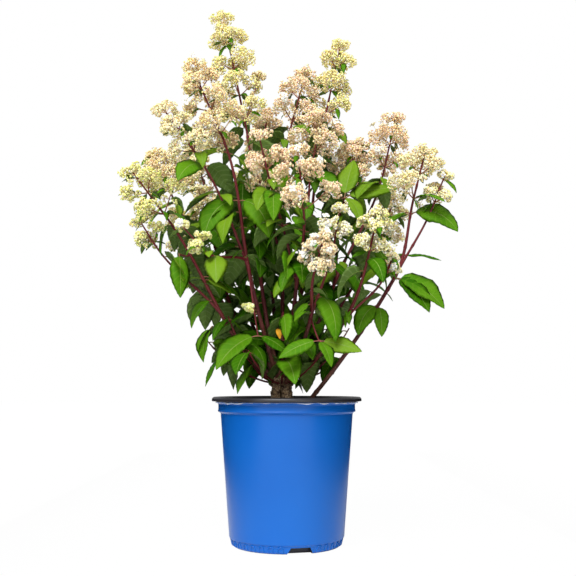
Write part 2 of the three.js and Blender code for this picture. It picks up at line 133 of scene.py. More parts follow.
# %% [markdown]
# ## Finishes
#
# Each finish is a Principled shader whose colour and relief drift over the surface. The same few effects
# come back in bark, leaf, floret, plastic and soil, so each is a node group that is built once: a drift
# between two colours, a scatter of specks, and a grain that can be stretched one way. They read object
# coordinates, so a pattern neither slides nor depends on how a mesh was unwrapped.

# %% Node helpers
def value_socket(group, name, kind, out=False, start=None):
    """Adds a named input or output to a node group."""
    direction = "OUTPUT" if out else "INPUT"
    socket = group.interface.new_socket(name, in_out=direction, socket_type=kind)
    if start is not None:
        socket.default_value = start


def put(tree, kind, inputs=None, **settings):
    """Adds a node. inputs holds a number, a colour or another node's socket for each named input."""
    node = tree.nodes.new(kind)
    for key, value in settings.items():
        setattr(node, key, value)
    for key, value in (inputs or {}).items():
        if isinstance(value, bpy.types.NodeSocket):
            tree.links.new(value, node.inputs[key])
        else:
            node.inputs[key].default_value = value
    return node


def maths(tree, operation, first, second):
    """The result of a sum on two numbers or sockets."""
    return put(tree, "ShaderNodeMath", {0: first, 1: second}, operation=operation).outputs[0]


def group_of(name, inputs, outputs):
    """An empty shader group with its sockets, and its input and output nodes."""
    tree = bpy.data.node_groups.new(name, "ShaderNodeTree")
    for socket, kind, start in inputs:
        value_socket(tree, socket, kind, start=start)
    for socket, kind in outputs:
        value_socket(tree, socket, kind, out=True)
    return tree, tree.nodes.new("NodeGroupInput"), tree.nodes.new("NodeGroupOutput")


# %% Node groups that the finishes share
def build_drift():
    """A slow drift from one colour to another, as sap, age and light leave on a surface."""
    tree, given, out = group_of(
        "colour drift",
        [
            ("Colour", "NodeSocketColor", (0.5, 0.5, 0.5, 1)),
            ("Other Colour", "NodeSocketColor", (0.2, 0.2, 0.2, 1)),
            ("Scale", "NodeSocketFloat", 20.0),
            ("Amount", "NodeSocketFloat", 1.0),
        ],
        [("Colour", "NodeSocketColor")],
    )
    where = put(tree, "ShaderNodeTexCoord").outputs["Object"]
    scale = given.outputs["Scale"]
    cloud = put(tree, "ShaderNodeTexNoise", {"Vector": where, "Scale": scale, "Detail": 3.0}).outputs["Fac"]
    ramp = put(tree, "ShaderNodeMapRange", {"Value": cloud, "From Min": 0.35, "From Max": 0.65})
    share = maths(tree, "MULTIPLY", ramp.outputs["Result"], given.outputs["Amount"])
    mix = put(
        tree,
        "ShaderNodeMixRGB",
        {0: share, 1: given.outputs["Colour"], 2: given.outputs["Other Colour"]},
    )
    tree.links.new(mix.outputs[0], out.inputs["Colour"])
    return tree


def build_rise():
    """One colour low on the plant that turns into another further up, as old bark into young."""
    tree, given, out = group_of(
        "colour by height",
        [
            ("Low Colour", "NodeSocketColor", (0.2, 0.1, 0.05, 1)),
            ("High Colour", "NodeSocketColor", (0.2, 0.02, 0.03, 1)),
            ("From", "NodeSocketFloat", 0.25),
            ("To", "NodeSocketFloat", 0.40),
        ],
        [("Colour", "NodeSocketColor")],
    )
    where = put(tree, "ShaderNodeTexCoord").outputs["Object"]
    height = put(tree, "ShaderNodeSeparateXYZ", {"Vector": where}).outputs["Z"]
    share = put(
        tree,
        "ShaderNodeMapRange",
        {"Value": height, "From Min": given.outputs["From"], "From Max": given.outputs["To"]},
    )
    mix = put(
        tree,
        "ShaderNodeMixRGB",
        {0: share.outputs["Result"], 1: given.outputs["Low Colour"], 2: given.outputs["High Colour"]},
    )
    tree.links.new(mix.outputs[0], out.inputs["Colour"])
    return tree


def build_specks():
    """Small round specks, such as the pores of young bark or grit in soil."""
    tree, given, out = group_of(
        "specks",
        [("Scale", "NodeSocketFloat", 200.0), ("Size", "NodeSocketFloat", 0.2)],
        [("Mask", "NodeSocketFloat")],
    )
    where = put(tree, "ShaderNodeTexCoord").outputs["Object"]
    cells = put(tree, "ShaderNodeTexVoronoi", {"Vector": where, "Scale": given.outputs["Scale"]})
    edge = maths(tree, "LESS_THAN", cells.outputs["Distance"], given.outputs["Size"])
    tree.links.new(edge, out.inputs["Mask"])
    return tree


def build_grain():
    """A fine grain as a height for a bump. Stretch draws it out along z, and Net adds a mesh of veins."""
    tree, given, out = group_of(
        "grain",
        [
            ("Scale", "NodeSocketFloat", 100.0),
            ("Stretch", "NodeSocketFloat", 1.0),
            ("Net", "NodeSocketFloat", 0.0),
        ],
        [("Height", "NodeSocketFloat")],
    )
    where = put(tree, "ShaderNodeTexCoord").outputs["Object"]
    squeeze = maths(tree, "DIVIDE", 1.0, given.outputs["Stretch"])
    sizes = put(tree, "ShaderNodeCombineXYZ", {"X": 1.0, "Y": 1.0, "Z": squeeze})
    spot = put(tree, "ShaderNodeVectorMath", {0: where, 1: sizes.outputs[0]}, operation="MULTIPLY")
    place = {"Vector": spot.outputs[0], "Scale": given.outputs["Scale"]}
    cloud = put(tree, "ShaderNodeTexNoise", place | {"Detail": 4.0})
    cells = put(tree, "ShaderNodeTexVoronoi", place, feature="DISTANCE_TO_EDGE")
    veins = maths(tree, "MINIMUM", cells.outputs["Distance"], 0.25)
    net = maths(tree, "MULTIPLY", veins, given.outputs["Net"])
    both = maths(tree, "ADD", cloud.outputs["Fac"], net)
    tree.links.new(both, out.inputs["Height"])
    return tree


def build_veins():
    """The side veins of a leaf, from its own map: one vein at each whole step along v."""
    tree, given, out = group_of(
        "leaf veins",
        [("Width", "NodeSocketFloat", 0.12)],
        [("Mask", "NodeSocketFloat")],
    )
    where = put(tree, "ShaderNodeUVMap", uv_map="leaf").outputs["UV"]
    along = put(tree, "ShaderNodeSeparateXYZ", {"Vector": where})
    away = maths(tree, "PINGPONG", along.outputs["Y"], 0.5)
    line = put(
        tree,
        "ShaderNodeMapRange",
        {"Value": away, "From Min": given.outputs["Width"], "From Max": 0.0},
    )
    tree.links.new(line.outputs["Result"], out.inputs["Mask"])
    return tree


DRIFT = build_drift()
RISE = build_rise()
SPECKS = build_specks()
GRAIN = build_grain()
VEINS = build_veins()
print("shared effects:", [tree.name for tree in (DRIFT, RISE, SPECKS, GRAIN, VEINS)])


# %% A finish from those groups
def finish_of(
    name, colour, other, roughness,
    drift=(20, 1.0), rise=None, specks=None, grain=None, veins=None, gloss=0.5,
):
    """A Principled material that drifts between two colours.

    drift is (scale, amount), rise (colour further up, height where it starts, height where it is whole),
    specks (scale, size, colour), grain (scale, stretch, net, depth in mm), and veins (width, colour).
    """
    made = bpy.data.materials.new(name)
    made.use_nodes = True
    tree = made.node_tree
    shader = tree.nodes["Principled BSDF"]
    shader.inputs["Roughness"].default_value = roughness
    shader.inputs["Specular IOR Level"].default_value = gloss
    start = (*colour, 1)
    if rise:
        start = put(
            tree,
            "ShaderNodeGroup",
            {"Low Colour": start, "High Colour": (*rise[0], 1), "From": rise[1], "To": rise[2]},
            node_tree=RISE,
        ).outputs["Colour"]
    final = put(
        tree,
        "ShaderNodeGroup",
        {"Colour": start, "Other Colour": (*other, 1), "Scale": drift[0], "Amount": drift[1]},
        node_tree=DRIFT,
    ).outputs["Colour"]
    if specks:
        dots = put(tree, "ShaderNodeGroup", {"Scale": specks[0], "Size": specks[1]}, node_tree=SPECKS)
        mix = put(tree, "ShaderNodeMixRGB", {0: dots.outputs["Mask"], 1: final, 2: (*specks[2], 1)})
        final = mix.outputs[0]
    if veins:
        lines = put(tree, "ShaderNodeGroup", {"Width": veins[0]}, node_tree=VEINS)
        mix = put(tree, "ShaderNodeMixRGB", {0: lines.outputs["Mask"], 1: final, 2: (*veins[1], 1)})
        final = mix.outputs[0]
    tree.links.new(final, shader.inputs["Base Color"])
    if grain:
        scale, stretch, net, depth = grain
        given = {"Scale": scale, "Stretch": stretch, "Net": net}
        height = put(tree, "ShaderNodeGroup", given, node_tree=GRAIN).outputs["Height"]
        bump = put(tree, "ShaderNodeBump", {"Height": height, "Distance": depth * MM})
        tree.links.new(bump.outputs["Normal"], shader.inputs["Normal"])
    return made


# %% The floor
# The photograph's ground is plain white. To the camera the floor glows as a lit table does, which leaves
# only a trace of shadow, while the plant is lit by a plain pale floor.
FLOOR_GLOW = 0.985
floor_finish = finish_of("pale floor", (0.90, 0.90, 0.90), (0.88, 0.88, 0.88), 0.9, gloss=0.0)
table = floor_finish.node_tree
glow = put(table, "ShaderNodeEmission", {"Strength": 1.0})
seen = put(table, "ShaderNodeLightPath")
part = maths(table, "MULTIPLY", seen.outputs["Is Camera Ray"], FLOOR_GLOW)
pale = table.nodes["Principled BSDF"]
blend = put(table, "ShaderNodeMixShader", {0: part, 1: pale.outputs[0], 2: glow.outputs[0]})
table.links.new(blend.outputs[0], table.nodes["Material Output"].inputs["Surface"])
floor = bpy.data.meshes.new("floor")
floor.from_pydata([(-6, -3, 0), (6, -3, 0), (6, 9, 0), (-6, 9, 0)], [], [(0, 1, 2, 3)])
floor.materials.append(floor_finish)
floor = bpy.data.objects.new("floor", floor)
bpy.context.scene.collection.objects.link(floor)
print("stage:", floor.name)

# %% Black cards
# They stand beside the pot, where the camera doesn't see them, and keep white out of its edges.
card_finish = finish_of("black card", (0.01, 0.01, 0.01), (0.01, 0.01, 0.01), 0.9, gloss=0.0)
for name, x in (("card_left", -0.50), ("card_right", 0.45)):
    card = bpy.data.meshes.new(name)
    card.from_pydata([(x, -0.5, 0), (x, 1.8, 0), (x, 1.8, 0.36), (x, -0.5, 0.36)], [], [(0, 1, 2, 3)])
    card.materials.append(card_finish)
    card = bpy.data.objects.new(name, card)
    card.visible_camera = False
    bpy.context.scene.collection.objects.link(card)
    print("stage:", card.name)

# %% [markdown]
# ## The sizes
#
# The same named sizes as in the source, in millimetres. The pot's come from a common nursery pot, 230 mm
# across its lip, and the plant's from its size beside the pot. Each cane has a fork, where its bare part
# ends, a bow, and a swing of its foot round the crown in degrees. Only the far right cane has the place
# where it comes out of the soil instead. Each shoot above the fork has the neck, the top and the spread of
# its panicle.
#
# The source tries each bunch and each leaf at a few angles, and keeps the first that is clear of all
# others. Testing solids again here would be slow, so two short rows of marks say which try was kept: a
# digit for a kept try, and a dash for a place left empty.

# %% Sizes of the pot, the crown and the growth
POT_HEIGHT, LIP_RADIUS, LIP_INNER_RADIUS, LIP_THICKNESS = 228, 115, 102, 6.5
WALL, FOOT_RADIUS, FOOT_HEIGHT = 2, 84, 12
WALL_FOOT_RADIUS, WALL_TOP_RADIUS, COLLAR_RADIUS, COLLAR_HEIGHT = 88.5, 101.5, 105, 18
NOTCHES, NOTCH_BEARING, NOTCH_WIDTH, NOTCH_SLOPE, NOTCH_HEIGHT, NOTCH_DEPTH = 3, 14, 38, 4.5, 10, 15
GAP, SOIL_TOP = 0.3, 204
CROWN = np.array([-8.0, 0.0, SOIL_TOP])
CROWN_TOP, CROWN_RADIUS = 256, 21
LEAF_LENGTH, LEAF_PAIR_SPACING, HEAD_RADIUS, TIER_SPACING = 94, 46, 16, 40
WALL_TOP = POT_HEIGHT - LIP_THICKNESS - GAP
COLLAR_FOOT = WALL_TOP - COLLAR_HEIGHT
FOOT_TOP_RADIUS = WALL_FOOT_RADIUS - 2.5
print("the pot is", POT_HEIGHT, "mm high and", 2 * LIP_RADIUS, "mm across; its wall ends at", WALL_TOP, "mm")

# %% Canes and basal shoots
# name, fork, bow, swing or place in the soil, then for each shoot: neck, top, spread, tries of its
# bunches and of its leaves
CANES = [
    ("front_left", (-55, -48, 411), 5, 0, [
        ((-95, -85, 610), (-141, -95, 715), 92, "0000000000", "00-00040"),
        ((-132, -105, 580), (-179, -135, 641), 70, "0000000", "3-010000"),
        ((-120, -112, 440), (-151, -127, 475), 42, "0000", "1205")]),
    ("tall", (-38, 0, 394), 4, 0, [
        ((-65, 10, 655), (-101, 20, 830), 88, "0000000000000", "5000000300"),
        ((-37, -30, 544), (-55, -45, 585), 56, "0000", "4-1-00")]),
    ("left", (-95, -24, 346), 8, 0, [
        ((-182, -50, 500), (-236, -60, 572), 96, "0000000", "00-0000-"),
        ((-199, -40, 459), (-225, -38, 500), 56, "0000", "-1-001")]),
    ("back_left", (-84, 35, 360), 8, 0, [
        ((-190, 70, 562), (-220, 80, 630), 84, "0000000", "24040000-0"),
        ((-130, 60, 520), (-145, 70, 570), 64, "0000", "0-0400")]),
    ("middle", (-6, 46, 413), 4, 8, [
        ((9, 80, 675), (33, 85, 765), 88, "0000000", "1100010010"),
        ((-37, 110, 607), (-34, 120, 708), 88, "0000000000", "0501-300")]),
    ("tall_right", (30, 45, 437), 5, -44, [
        ((64, 90, 690), (91, 95, 817), 84, "000-000000", "-0-0001102"),
        ((43, 40, 611), (59, 45, 684), 92, "0000000", "---230")]),
    ("front_middle", (14, -62, 389), 6, 0, [
        ((24, -110, 495), (15, -120, 588), 104, "0000000", "1000"),
        ((-28, -98, 555), (-42, -108, 612), 70, "0000", "102003")]),
    ("front_low", (33, -83, 336), 8, 0, [
        ((39, -140, 405), (55, -162, 462), 74, "0000000", "0003"),
        ((69, -112, 456), (76, -116, 505), 56, "0000", "031-")]),
    ("front_right", (84, -58, 339), 10, 0, [
        ((118, -105, 437), (132, -120, 502), 80, "0000000", "0111"),
        ((146, -66, 410), (158, -70, 440), 40, "0000", "-102")]),
    ("far_right", (162, -20, 406), 10, (17, -18), [
        ((192, -25, 528), (212, -30, 611), 96, "0000000", "000030"),
        ((222, -34, 520), (240, -38, 568), 52, "000-", "5107")]),
    ("right", (70, 31, 393), 6, 0, [
        ((157, 60, 594), (178, 70, 688), 84, "0000000", "-0-00000"),
        ((97, 90, 578), (122, 95, 651), 78, "0000000", "201-0200")]),
    ("back_high_left", (-67, 70, 377), 6, -6, [
        ((-137, 150, 572), (-164, 175, 669), 90, "0000000000", "60-00500")]),
    ("back_middle", (-23, 78, 391), 6, -9, [
        ((-42, 175, 594), (-42, 195, 708), 90, "0000000000", "0600000000")]),
    ("back_right", (40, 78, 390), 6, 0, [
        ((96, 165, 574), (109, 182, 670), 88, "0000000", "020-0030")]),
    ("back_low_left", (-81, 73, 337), 9, 3, [
        ((-162, 140, 480), (-195, 165, 551), 80, "0000000", "01002000")]),
    ("back_low_right", (76, 64, 353), 9, 0, [
        ((160, 140, 497), (188, 162, 576), 84, "0000000", "00000100")]),
]
# which way each leans in degrees, how far out its tip is, its rise above the crown, tries of its leaves
BASAL_SHOOTS = [
    (178, 116, 60, "040000"), (215, 96, 92, "0-0700"), (243, 104, 40, "-1-001"), (272, 84, 96, "153203"),
    (306, 92, 30, "4200"), (345, 106, 76, "0-0300"), (18, 104, 36, "271000"), (58, 96, 66, "2-1110"),
    (96, 104, 40, "4701-0"), (142, 100, 72, "---312"),
]


# %% [markdown]
# ## Lines that the plant grows along
#
# A cane, a shoot and a stalk are all smooth bows. A Bezier curve gives each from two or three named
# points. Equal steps along such a curve need its length, so a small class measures it once.

# %% A bow through space
UP = np.array([0.0, 0.0, 1.0])


def unit(vector):
    return vector / np.linalg.norm(vector)


class Bow:
    """A Bezier curve of a few points that tells the place and the heading at a share of its length."""

    def __init__(self, *points):
        hull = [np.asarray(p, float) for p in points]
        t = np.linspace(0, 1, 201)[:, None]
        while len(hull) > 1:
            hull = [a * (1 - t) + b * t for a, b in zip(hull, hull[1:])]
        self.measure(hull[0])

    def measure(self, points):
        self.points = points
        steps = np.linalg.norm(np.diff(points, axis=0), axis=1)
        self.along = np.concatenate([[0], np.cumsum(steps)])
        self.length = self.along[-1]

    def at(self, share):
        spots = np.clip(share, 0, 1) * self.length
        return np.stack([np.interp(spots, self.along, self.points[:, i]) for i in range(3)], -1)

    def heading(self, share):
        return unit(self.at(min(share + 0.002, 1)) - self.at(max(share - 0.002, 0)))


# %% Canes, shoots and basal shoots
# Canes climb at 42 to 78 degrees. The steeper one is, the further up the burl's dome its foot stands.
CLIMBS, FOOT_TILTS = (42, 78), (8, 78)


def cane_foot(fork, swing):
    """Where a cane leaves the burl: the way it leans, so that the canes fan out without crossing."""
    away = fork - np.array([CROWN[0], CROWN[1], CROWN_TOP])
    bearing = math.atan2(away[1], away[0]) + math.radians(swing)
    climb = math.degrees(math.atan2(away[2], math.hypot(away[0], away[1])))
    share = (climb - CLIMBS[0]) / (CLIMBS[1] - CLIMBS[0])
    tilt = math.radians(FOOT_TILTS[0] + share * (FOOT_TILTS[1] - FOOT_TILTS[0]))
    reach = CROWN_RADIUS * 0.78
    return np.array([
        CROWN[0] + reach * math.cos(tilt) * math.cos(bearing),
        CROWN[1] + reach * math.cos(tilt) * math.sin(bearing),
        CROWN_TOP - 6 + reach * 0.6 * math.sin(tilt),
    ])


def cane_line(fork, bow, swing):
    from_soil = isinstance(swing, tuple)
    foot = np.array([*swing, SOIL_TOP - 2.0]) if from_soil else cane_foot(fork, swing)
    outward = unit(np.array([fork[0] - foot[0], fork[1] - foot[1], 0]))
    return Bow(foot, (foot + fork) / 2 + outward * bow - UP * bow * 0.7, fork)


def shoot_line(cane, main, neck, top, rank):
    """The first shoot goes on from the cane's end, and the others branch off it a little further up."""
    heading = main.heading(0.1) if rank else cane.heading(1)
    start = main.at(0.05 * rank) if rank else cane.points[-1] + heading * GAP
    if rank:
        heading = unit(heading * 0.2 + unit(neck - start) * 0.8)
    stride = 0.36 * np.linalg.norm(neck - start)
    return Bow(start, start + heading * stride, neck - unit(top - neck) * stride, neck)


def basal_line(bearing, reach, rise):
    outward = np.array([math.cos(math.radians(bearing)), math.sin(math.radians(bearing)), 0])
    middle = np.array([CROWN[0], CROWN[1], CROWN_TOP])
    return Bow(
        middle - UP * 8 + outward * CROWN_RADIUS * 0.3,
        middle - UP * 1 + outward * reach * 0.58,
        middle + UP * rise + outward * reach,
    )


canes, shoots = [], []
for name, fork, bow, swing, rows in CANES:
    cane = cane_line(np.array(fork, float), bow, swing)
    canes.append((name, cane))
    main = None
    for rank, (neck, top, spread, bunch_tries, leaf_tries) in enumerate(rows):
        neck, top = np.array(neck, float), np.array(top, float)
        line = shoot_line(cane, main, neck, top, rank)
        main = main or line
        shoots.append({
            "mass": "mass_" + name, "rank": rank, "line": line, "neck": neck, "top": top,
            "spread": spread, "bunch_tries": bunch_tries, "leaf_tries": leaf_tries,
        })
basal = [
    {"mass": f"basal_shoot_{i + 1}", "line": basal_line(*row[:3]), "leaf_tries": row[3]}
    for i, row in enumerate(BASAL_SHOOTS)
]
print(len(canes), "canes,", len(shoots), "shoots with panicles,", len(basal), "basal shoots")


# %% [markdown]
# ## The growth rule
#
# Panicles and leaf pairs follow the source's rule, with the same seeded chance in the same order. A
# panicle has whorls of three branches, shorter towards the top. Leaves stand in opposite pairs, each pair
# turned a quarter from the one below.

# %% Seeded chance, as in the source
seed = 20240


def chance():
    global seed
    seed = (seed * 1664525 + 1013904223) & 0xFFFFFFFF
    return seed / 4294967296


def between(low, high):
    return low + (high - low) * chance()


def tries(mark, limit):
    """The numbers of the tries that the source made at one place, up to the kept one."""
    return range(limit if mark == "-" else int(mark) + 1)


# %% Bunches of florets
def grow_panicle(shoot):
    """Lists the bunches of one panicle, each with its branch's start and its middle."""
    neck, top, spread = shoot["neck"], shoot["top"], shoot["spread"]
    marks = iter(shoot["bunch_tries"])
    length = np.linalg.norm(top - neck)
    axis = (top - neck) / length
    side = unit(np.cross(axis, UP))
    other = np.cross(axis, side)
    radius = min(HEAD_RADIUS, spread * 0.2)
    tiers = max(1, int(length / TIER_SPACING + 0.5))
    start = between(0, 2 * math.pi)
    bunches = []

    def keep(mark, from_, to, size):
        if mark != "-":
            bunches.append({"from": from_, "to": to, "radius": size, "shoot": shoot})

    keep(next(marks), top - axis * length * 0.3, top - axis * radius * 0.6, radius * 0.9)
    for tier in range(tiers):
        share = tier / (tiers + 0.35)
        from_ = neck + axis * length * share
        for branch in range(3):
            mark = next(marks)
            even = start + 2 * math.pi * (branch / 3 + tier / 6)
            for attempt in tries(mark, 5):
                angle = even + between(-0.2, 0.2) * (1 + attempt)
                reach = (spread / 2 - radius * 0.8) * (1 - 0.55 * share) * between(0.84, 1.14)
                size = radius * (1 - 0.2 * share) * between(0.88, 1.12)
            to = from_ + side * reach * math.cos(angle) + other * reach * math.sin(angle)
            keep(mark, from_, to + axis * (reach * 0.55 + 4), size)
    return bunches


bunches = [bunch for shoot in shoots for bunch in grow_panicle(shoot)]
print(len(bunches), "bunches of florets")


# %% Leaves
def grow_pairs(stem, start_share, end_share, spacing):
    """Lists the leaves of one stem with their bearing, length, slopes at base and tip, and roll."""
    line = stem["line"]
    marks = iter(stem["leaf_tries"])
    pairs = max(1, int(line.length * (end_share - start_share) / spacing + 0.5))
    start = between(0, 2 * math.pi)
    leaves = []
    for pair in range(pairs):
        share = start_share + (end_share - start_share) * (pair + 0.5) / pairs
        for side in (0, 0.5):
            bearing = start + 2 * math.pi * (side + pair / 4)
            length = LEAF_LENGTH * (1 - 0.3 * share) * between(0.86, 1.08)
            mark = next(marks)
            for attempt in tries(mark, 8):
                pose = (
                    bearing + math.radians(between(-24, 24)),
                    length * (1 - 0.06 * attempt),
                    math.radians(between(5, 45)),
                    math.radians(between(-100, -55)),
                    math.radians(between(-50, 50)),
                )
            if mark != "-":
                leaves.append({"root": line.at(share), "pose": pose, "stem": stem, "share": share})
    return leaves


leaves = [leaf for shoot in shoots for leaf in grow_pairs(shoot, 0.05, 0.97, LEAF_PAIR_SPACING)]
leaves += [leaf for stem in basal for leaf in grow_pairs(stem, 0.25, 1.1, LEAF_PAIR_SPACING * 0.8)]
print(len(leaves), "leaves; the last number of chance:", seed)

# %% [markdown]
# ## Tubes and small repeated shapes
#
# Canes, stalks and petioles are all tubes along lines, and a panicle has many thousand equal florets.
# Both could be built face by face. Two Geometry Nodes trees do it instead: one sweeps a circle along each
# line, as thick as the line says at each point, and can roughen it as bark, and one stands a small shape
# on each point. Their results are kept as plain meshes.

# %% Helpers for meshes and trees
detail = np.random.default_rng(7)


def add_piece(name, mesh):
    piece = bpy.data.objects.new(name, mesh)
    bpy.context.scene.collection.objects.link(piece)
    return piece


def mesh_of(name, points, faces=(), edges=(), **values):
    """A mesh in metres from points in millimetres, with named values at its points."""
    mesh = bpy.data.meshes.new(name)
    mesh.from_pydata(np.asarray(points, float) * MM, edges, faces)
    for key, numbers in values.items():
        numbers = np.asarray(numbers, np.float32)
        kind = "FLOAT_VECTOR" if numbers.ndim == 2 else "FLOAT"
        field = mesh.attributes.new(key, kind, "POINT")
        field.data.foreach_set("vector" if numbers.ndim == 2 else "value", numbers.ravel())
    return mesh


def lines_mesh(name, strands):
    """One mesh of separate lines. Each strand is (points, radii), in millimetres."""
    sizes = [len(points) for points, _ in strands]
    ends = set(np.cumsum(sizes))
    edges = [(i, i + 1) for i in range(sum(sizes) - 1) if i + 1 not in ends]
    radii = np.concatenate([np.asarray(r, float) for _, r in strands]) * MM
    return mesh_of(name, np.concatenate([p for p, _ in strands]), edges=edges, thickness=radii)


def tree_of(name, inputs):
    """An empty Geometry Nodes tree with its sockets, and its input and output nodes."""
    tree = bpy.data.node_groups.new(name, "GeometryNodeTree")
    value_socket(tree, "Geometry", "NodeSocketGeometry")
    for socket, kind in inputs:
        value_socket(tree, socket, kind)
    value_socket(tree, "Geometry", "NodeSocketGeometry", out=True)
    return tree, tree.nodes.new("NodeGroupInput"), tree.nodes.new("NodeGroupOutput")


def end_tree(tree, last, given, out):
    """Makes instances real and sets the material, which the end of every tree has to do."""
    real = put(tree, "GeometryNodeRealizeInstances", {"Geometry": last.outputs[0]}).outputs[0]
    finish = put(tree, "GeometryNodeSetMaterial", {"Geometry": real, "Material": given.outputs["Material"]})
    tree.links.new(finish.outputs[0], out.inputs["Geometry"])


def grown(name, mesh, tree, values):
    """Runs a tree on a mesh and keeps the plain mesh that comes out."""
    bearer = add_piece(name + "_bearer", mesh)
    growth = bearer.modifiers.new("growth", "NODES")
    growth.node_group = tree
    for item in tree.interface.items_tree:
        if item.in_out == "INPUT" and item.name in values:
            growth[item.identifier] = values[item.name]
    result = bearer.evaluated_get(bpy.context.evaluated_depsgraph_get())
    piece = add_piece(name, bpy.data.meshes.new_from_object(result))
    bpy.data.objects.remove(bearer)
    return piece


def read(tree, name, kind="FLOAT"):
    """The socket of a named value at the points."""
    node = put(tree, "GeometryNodeInputNamedAttribute", {"Name": name}, data_type=kind)
    return node.outputs["Attribute"]


# %% A tree that sweeps tubes along lines
def build_tubes():
    tree, given, out = tree_of("tubes along lines", [
        ("Sides", "NodeSocketInt"),
        ("Relief", "NodeSocketFloat"),
        ("Relief Scale", "NodeSocketFloat"),
        ("Material", "NodeSocketMaterial"),
    ])
    line = put(tree, "GeometryNodeMeshToCurve", {"Mesh": given.outputs["Geometry"]})
    sides = given.outputs["Sides"]
    circle = put(tree, "GeometryNodeCurvePrimitiveCircle", {"Resolution": sides, "Radius": 1.0})
    tube = put(
        tree,
        "GeometryNodeCurveToMesh",
        {
            "Curve": line.outputs["Curve"],
            "Profile Curve": circle.outputs["Curve"],
            "Scale": read(tree, "thickness"),
            "Fill Caps": True,
        },
    )
    cloud = put(tree, "ShaderNodeTexNoise", {"Scale": given.outputs["Relief Scale"], "Detail": 3.0})
    level = maths(tree, "SUBTRACT", cloud.outputs["Fac"], 0.5)
    deep = maths(tree, "MULTIPLY", level, given.outputs["Relief"])
    normal = put(tree, "GeometryNodeInputNormal").outputs[0]
    push = put(tree, "ShaderNodeVectorMath", {0: normal, "Scale": deep}, operation="SCALE").outputs[0]
    rough = put(tree, "GeometryNodeSetPosition", {"Geometry": tube.outputs["Mesh"], "Offset": push})
    smooth = put(tree, "GeometryNodeSetShadeSmooth", {"Geometry": rough.outputs[0]})
    end_tree(tree, smooth, given, out)
    return tree


# %% A tree that stands a small shape on each point
def build_scatter():
    tree, given, out = tree_of("a shape on each point", [
        ("Shape", "NodeSocketObject"),
        ("Material", "NodeSocketMaterial"),
    ])
    shape = put(tree, "GeometryNodeObjectInfo", {"Object": given.outputs["Shape"]})
    way = read(tree, "facing", "FLOAT_VECTOR")
    facing = put(tree, "FunctionNodeAlignRotationToVector", {"Vector": way}, axis="Z")
    angle = read(tree, "turn")
    turn = put(tree, "FunctionNodeAxisAngleToRotation", {"Axis": (0, 0, 1), "Angle": angle})
    turned = put(
        tree,
        "FunctionNodeRotateRotation",
        {"Rotation": facing.outputs[0], "Rotate By": turn.outputs[0]},
        rotation_space="LOCAL",
    )
    stood = put(
        tree,
        "GeometryNodeInstanceOnPoints",
        {
            "Points": given.outputs["Geometry"],
            "Instance": shape.outputs["Geometry"],
            "Rotation": turned.outputs[0],
            "Scale": read(tree, "size"),
        },
    )
    end_tree(tree, stood, given, out)
    return tree


# %% Using the two trees
TUBES, SCATTER = build_tubes(), build_scatter()


def tubes(name, strands, sides, finish, relief=0.0, relief_scale=1.0):
    """A piece of tubes along strands, with relief in millimetres."""
    values = {"Sides": sides, "Relief": relief * MM, "Relief Scale": relief_scale, "Material": finish}
    return grown(name, lines_mesh(name, strands), TUBES, values)


def scattered(name, shape, finish, spots, facings, sizes, turns):
    """A piece of one small shape stood on many spots. The shape itself is removed."""
    mesh = mesh_of(name, spots, facing=facings, size=sizes, turn=turns)
    piece = grown(name, mesh, SCATTER, {"Shape": shape, "Material": finish})
    bpy.data.objects.remove(shape)
    return piece


print("trees:", TUBES.name + ",", SCATTER.name)

# %% [markdown]
# ## The pot
#
# The pot is thin blown plastic: bright blue outside, black inside, with a rolled black lip. A collar
# stands out under the lip, small moulded arches run round the foot, and three notches let the water out.
# A profile spun round the axis gives the wall. The notches could be left out of the spin face by face,
# but cutting them with bars is simpler and gives clean cheeks. The wide front is smooth and bare.

# %% Spinning a profile
def spun(name, profile, segments=160):
    """A closed mesh from a profile of (radius, height) spun round the axis."""
    turns = np.arange(segments) * 2 * math.pi / segments
    points, rings = [], []
    for radius, height in profile:
        if radius == 0:
            rings.append([len(points)])
            points.append((0, 0, height))
        else:
            rings.append(list(range(len(points), len(points) + segments)))
            points.extend((radius * math.sin(a), -radius * math.cos(a), height) for a in turns)
    faces = []
    for low, high in zip(rings, rings[1:]):
        for i in range(segments):
            j = (i + 1) % segments
            ring = [low[i % len(low)], low[j % len(low)], high[j % len(high)], high[i % len(high)]]
            faces.append(tuple(dict.fromkeys(ring)))
    return mesh_of(name, points, faces)


def rounded(profile, corners, steps=4):
    """Rounds the named corners of a profile, each by a radius in millimetres."""
    out = []
    for i, (here, radius) in enumerate(zip(profile, corners)):
        here = np.array(here, float)
        if not radius:
            out.append(here)
            continue
        before, after = np.array(profile[i - 1], float), np.array(profile[i + 1], float)
        a, b = here + unit(before - here) * radius, here + unit(after - here) * radius
        for t in np.linspace(0, 1, steps + 1):
            out.append(a * (1 - t) ** 2 + here * 2 * t * (1 - t) + b * t * t)
    return out


def cut(piece, cutter):
    """Takes a cutter out of a piece, and removes the cutter."""
    change = piece.modifiers.new("cut", "BOOLEAN")
    change.operation = "DIFFERENCE"
    change.solver = "EXACT"
    change.object = cutter
    result = piece.evaluated_get(bpy.context.evaluated_depsgraph_get())
    mesh = bpy.data.meshes.new_from_object(result)
    piece.modifiers.clear()
    piece.data = mesh
    bpy.data.objects.remove(cutter)


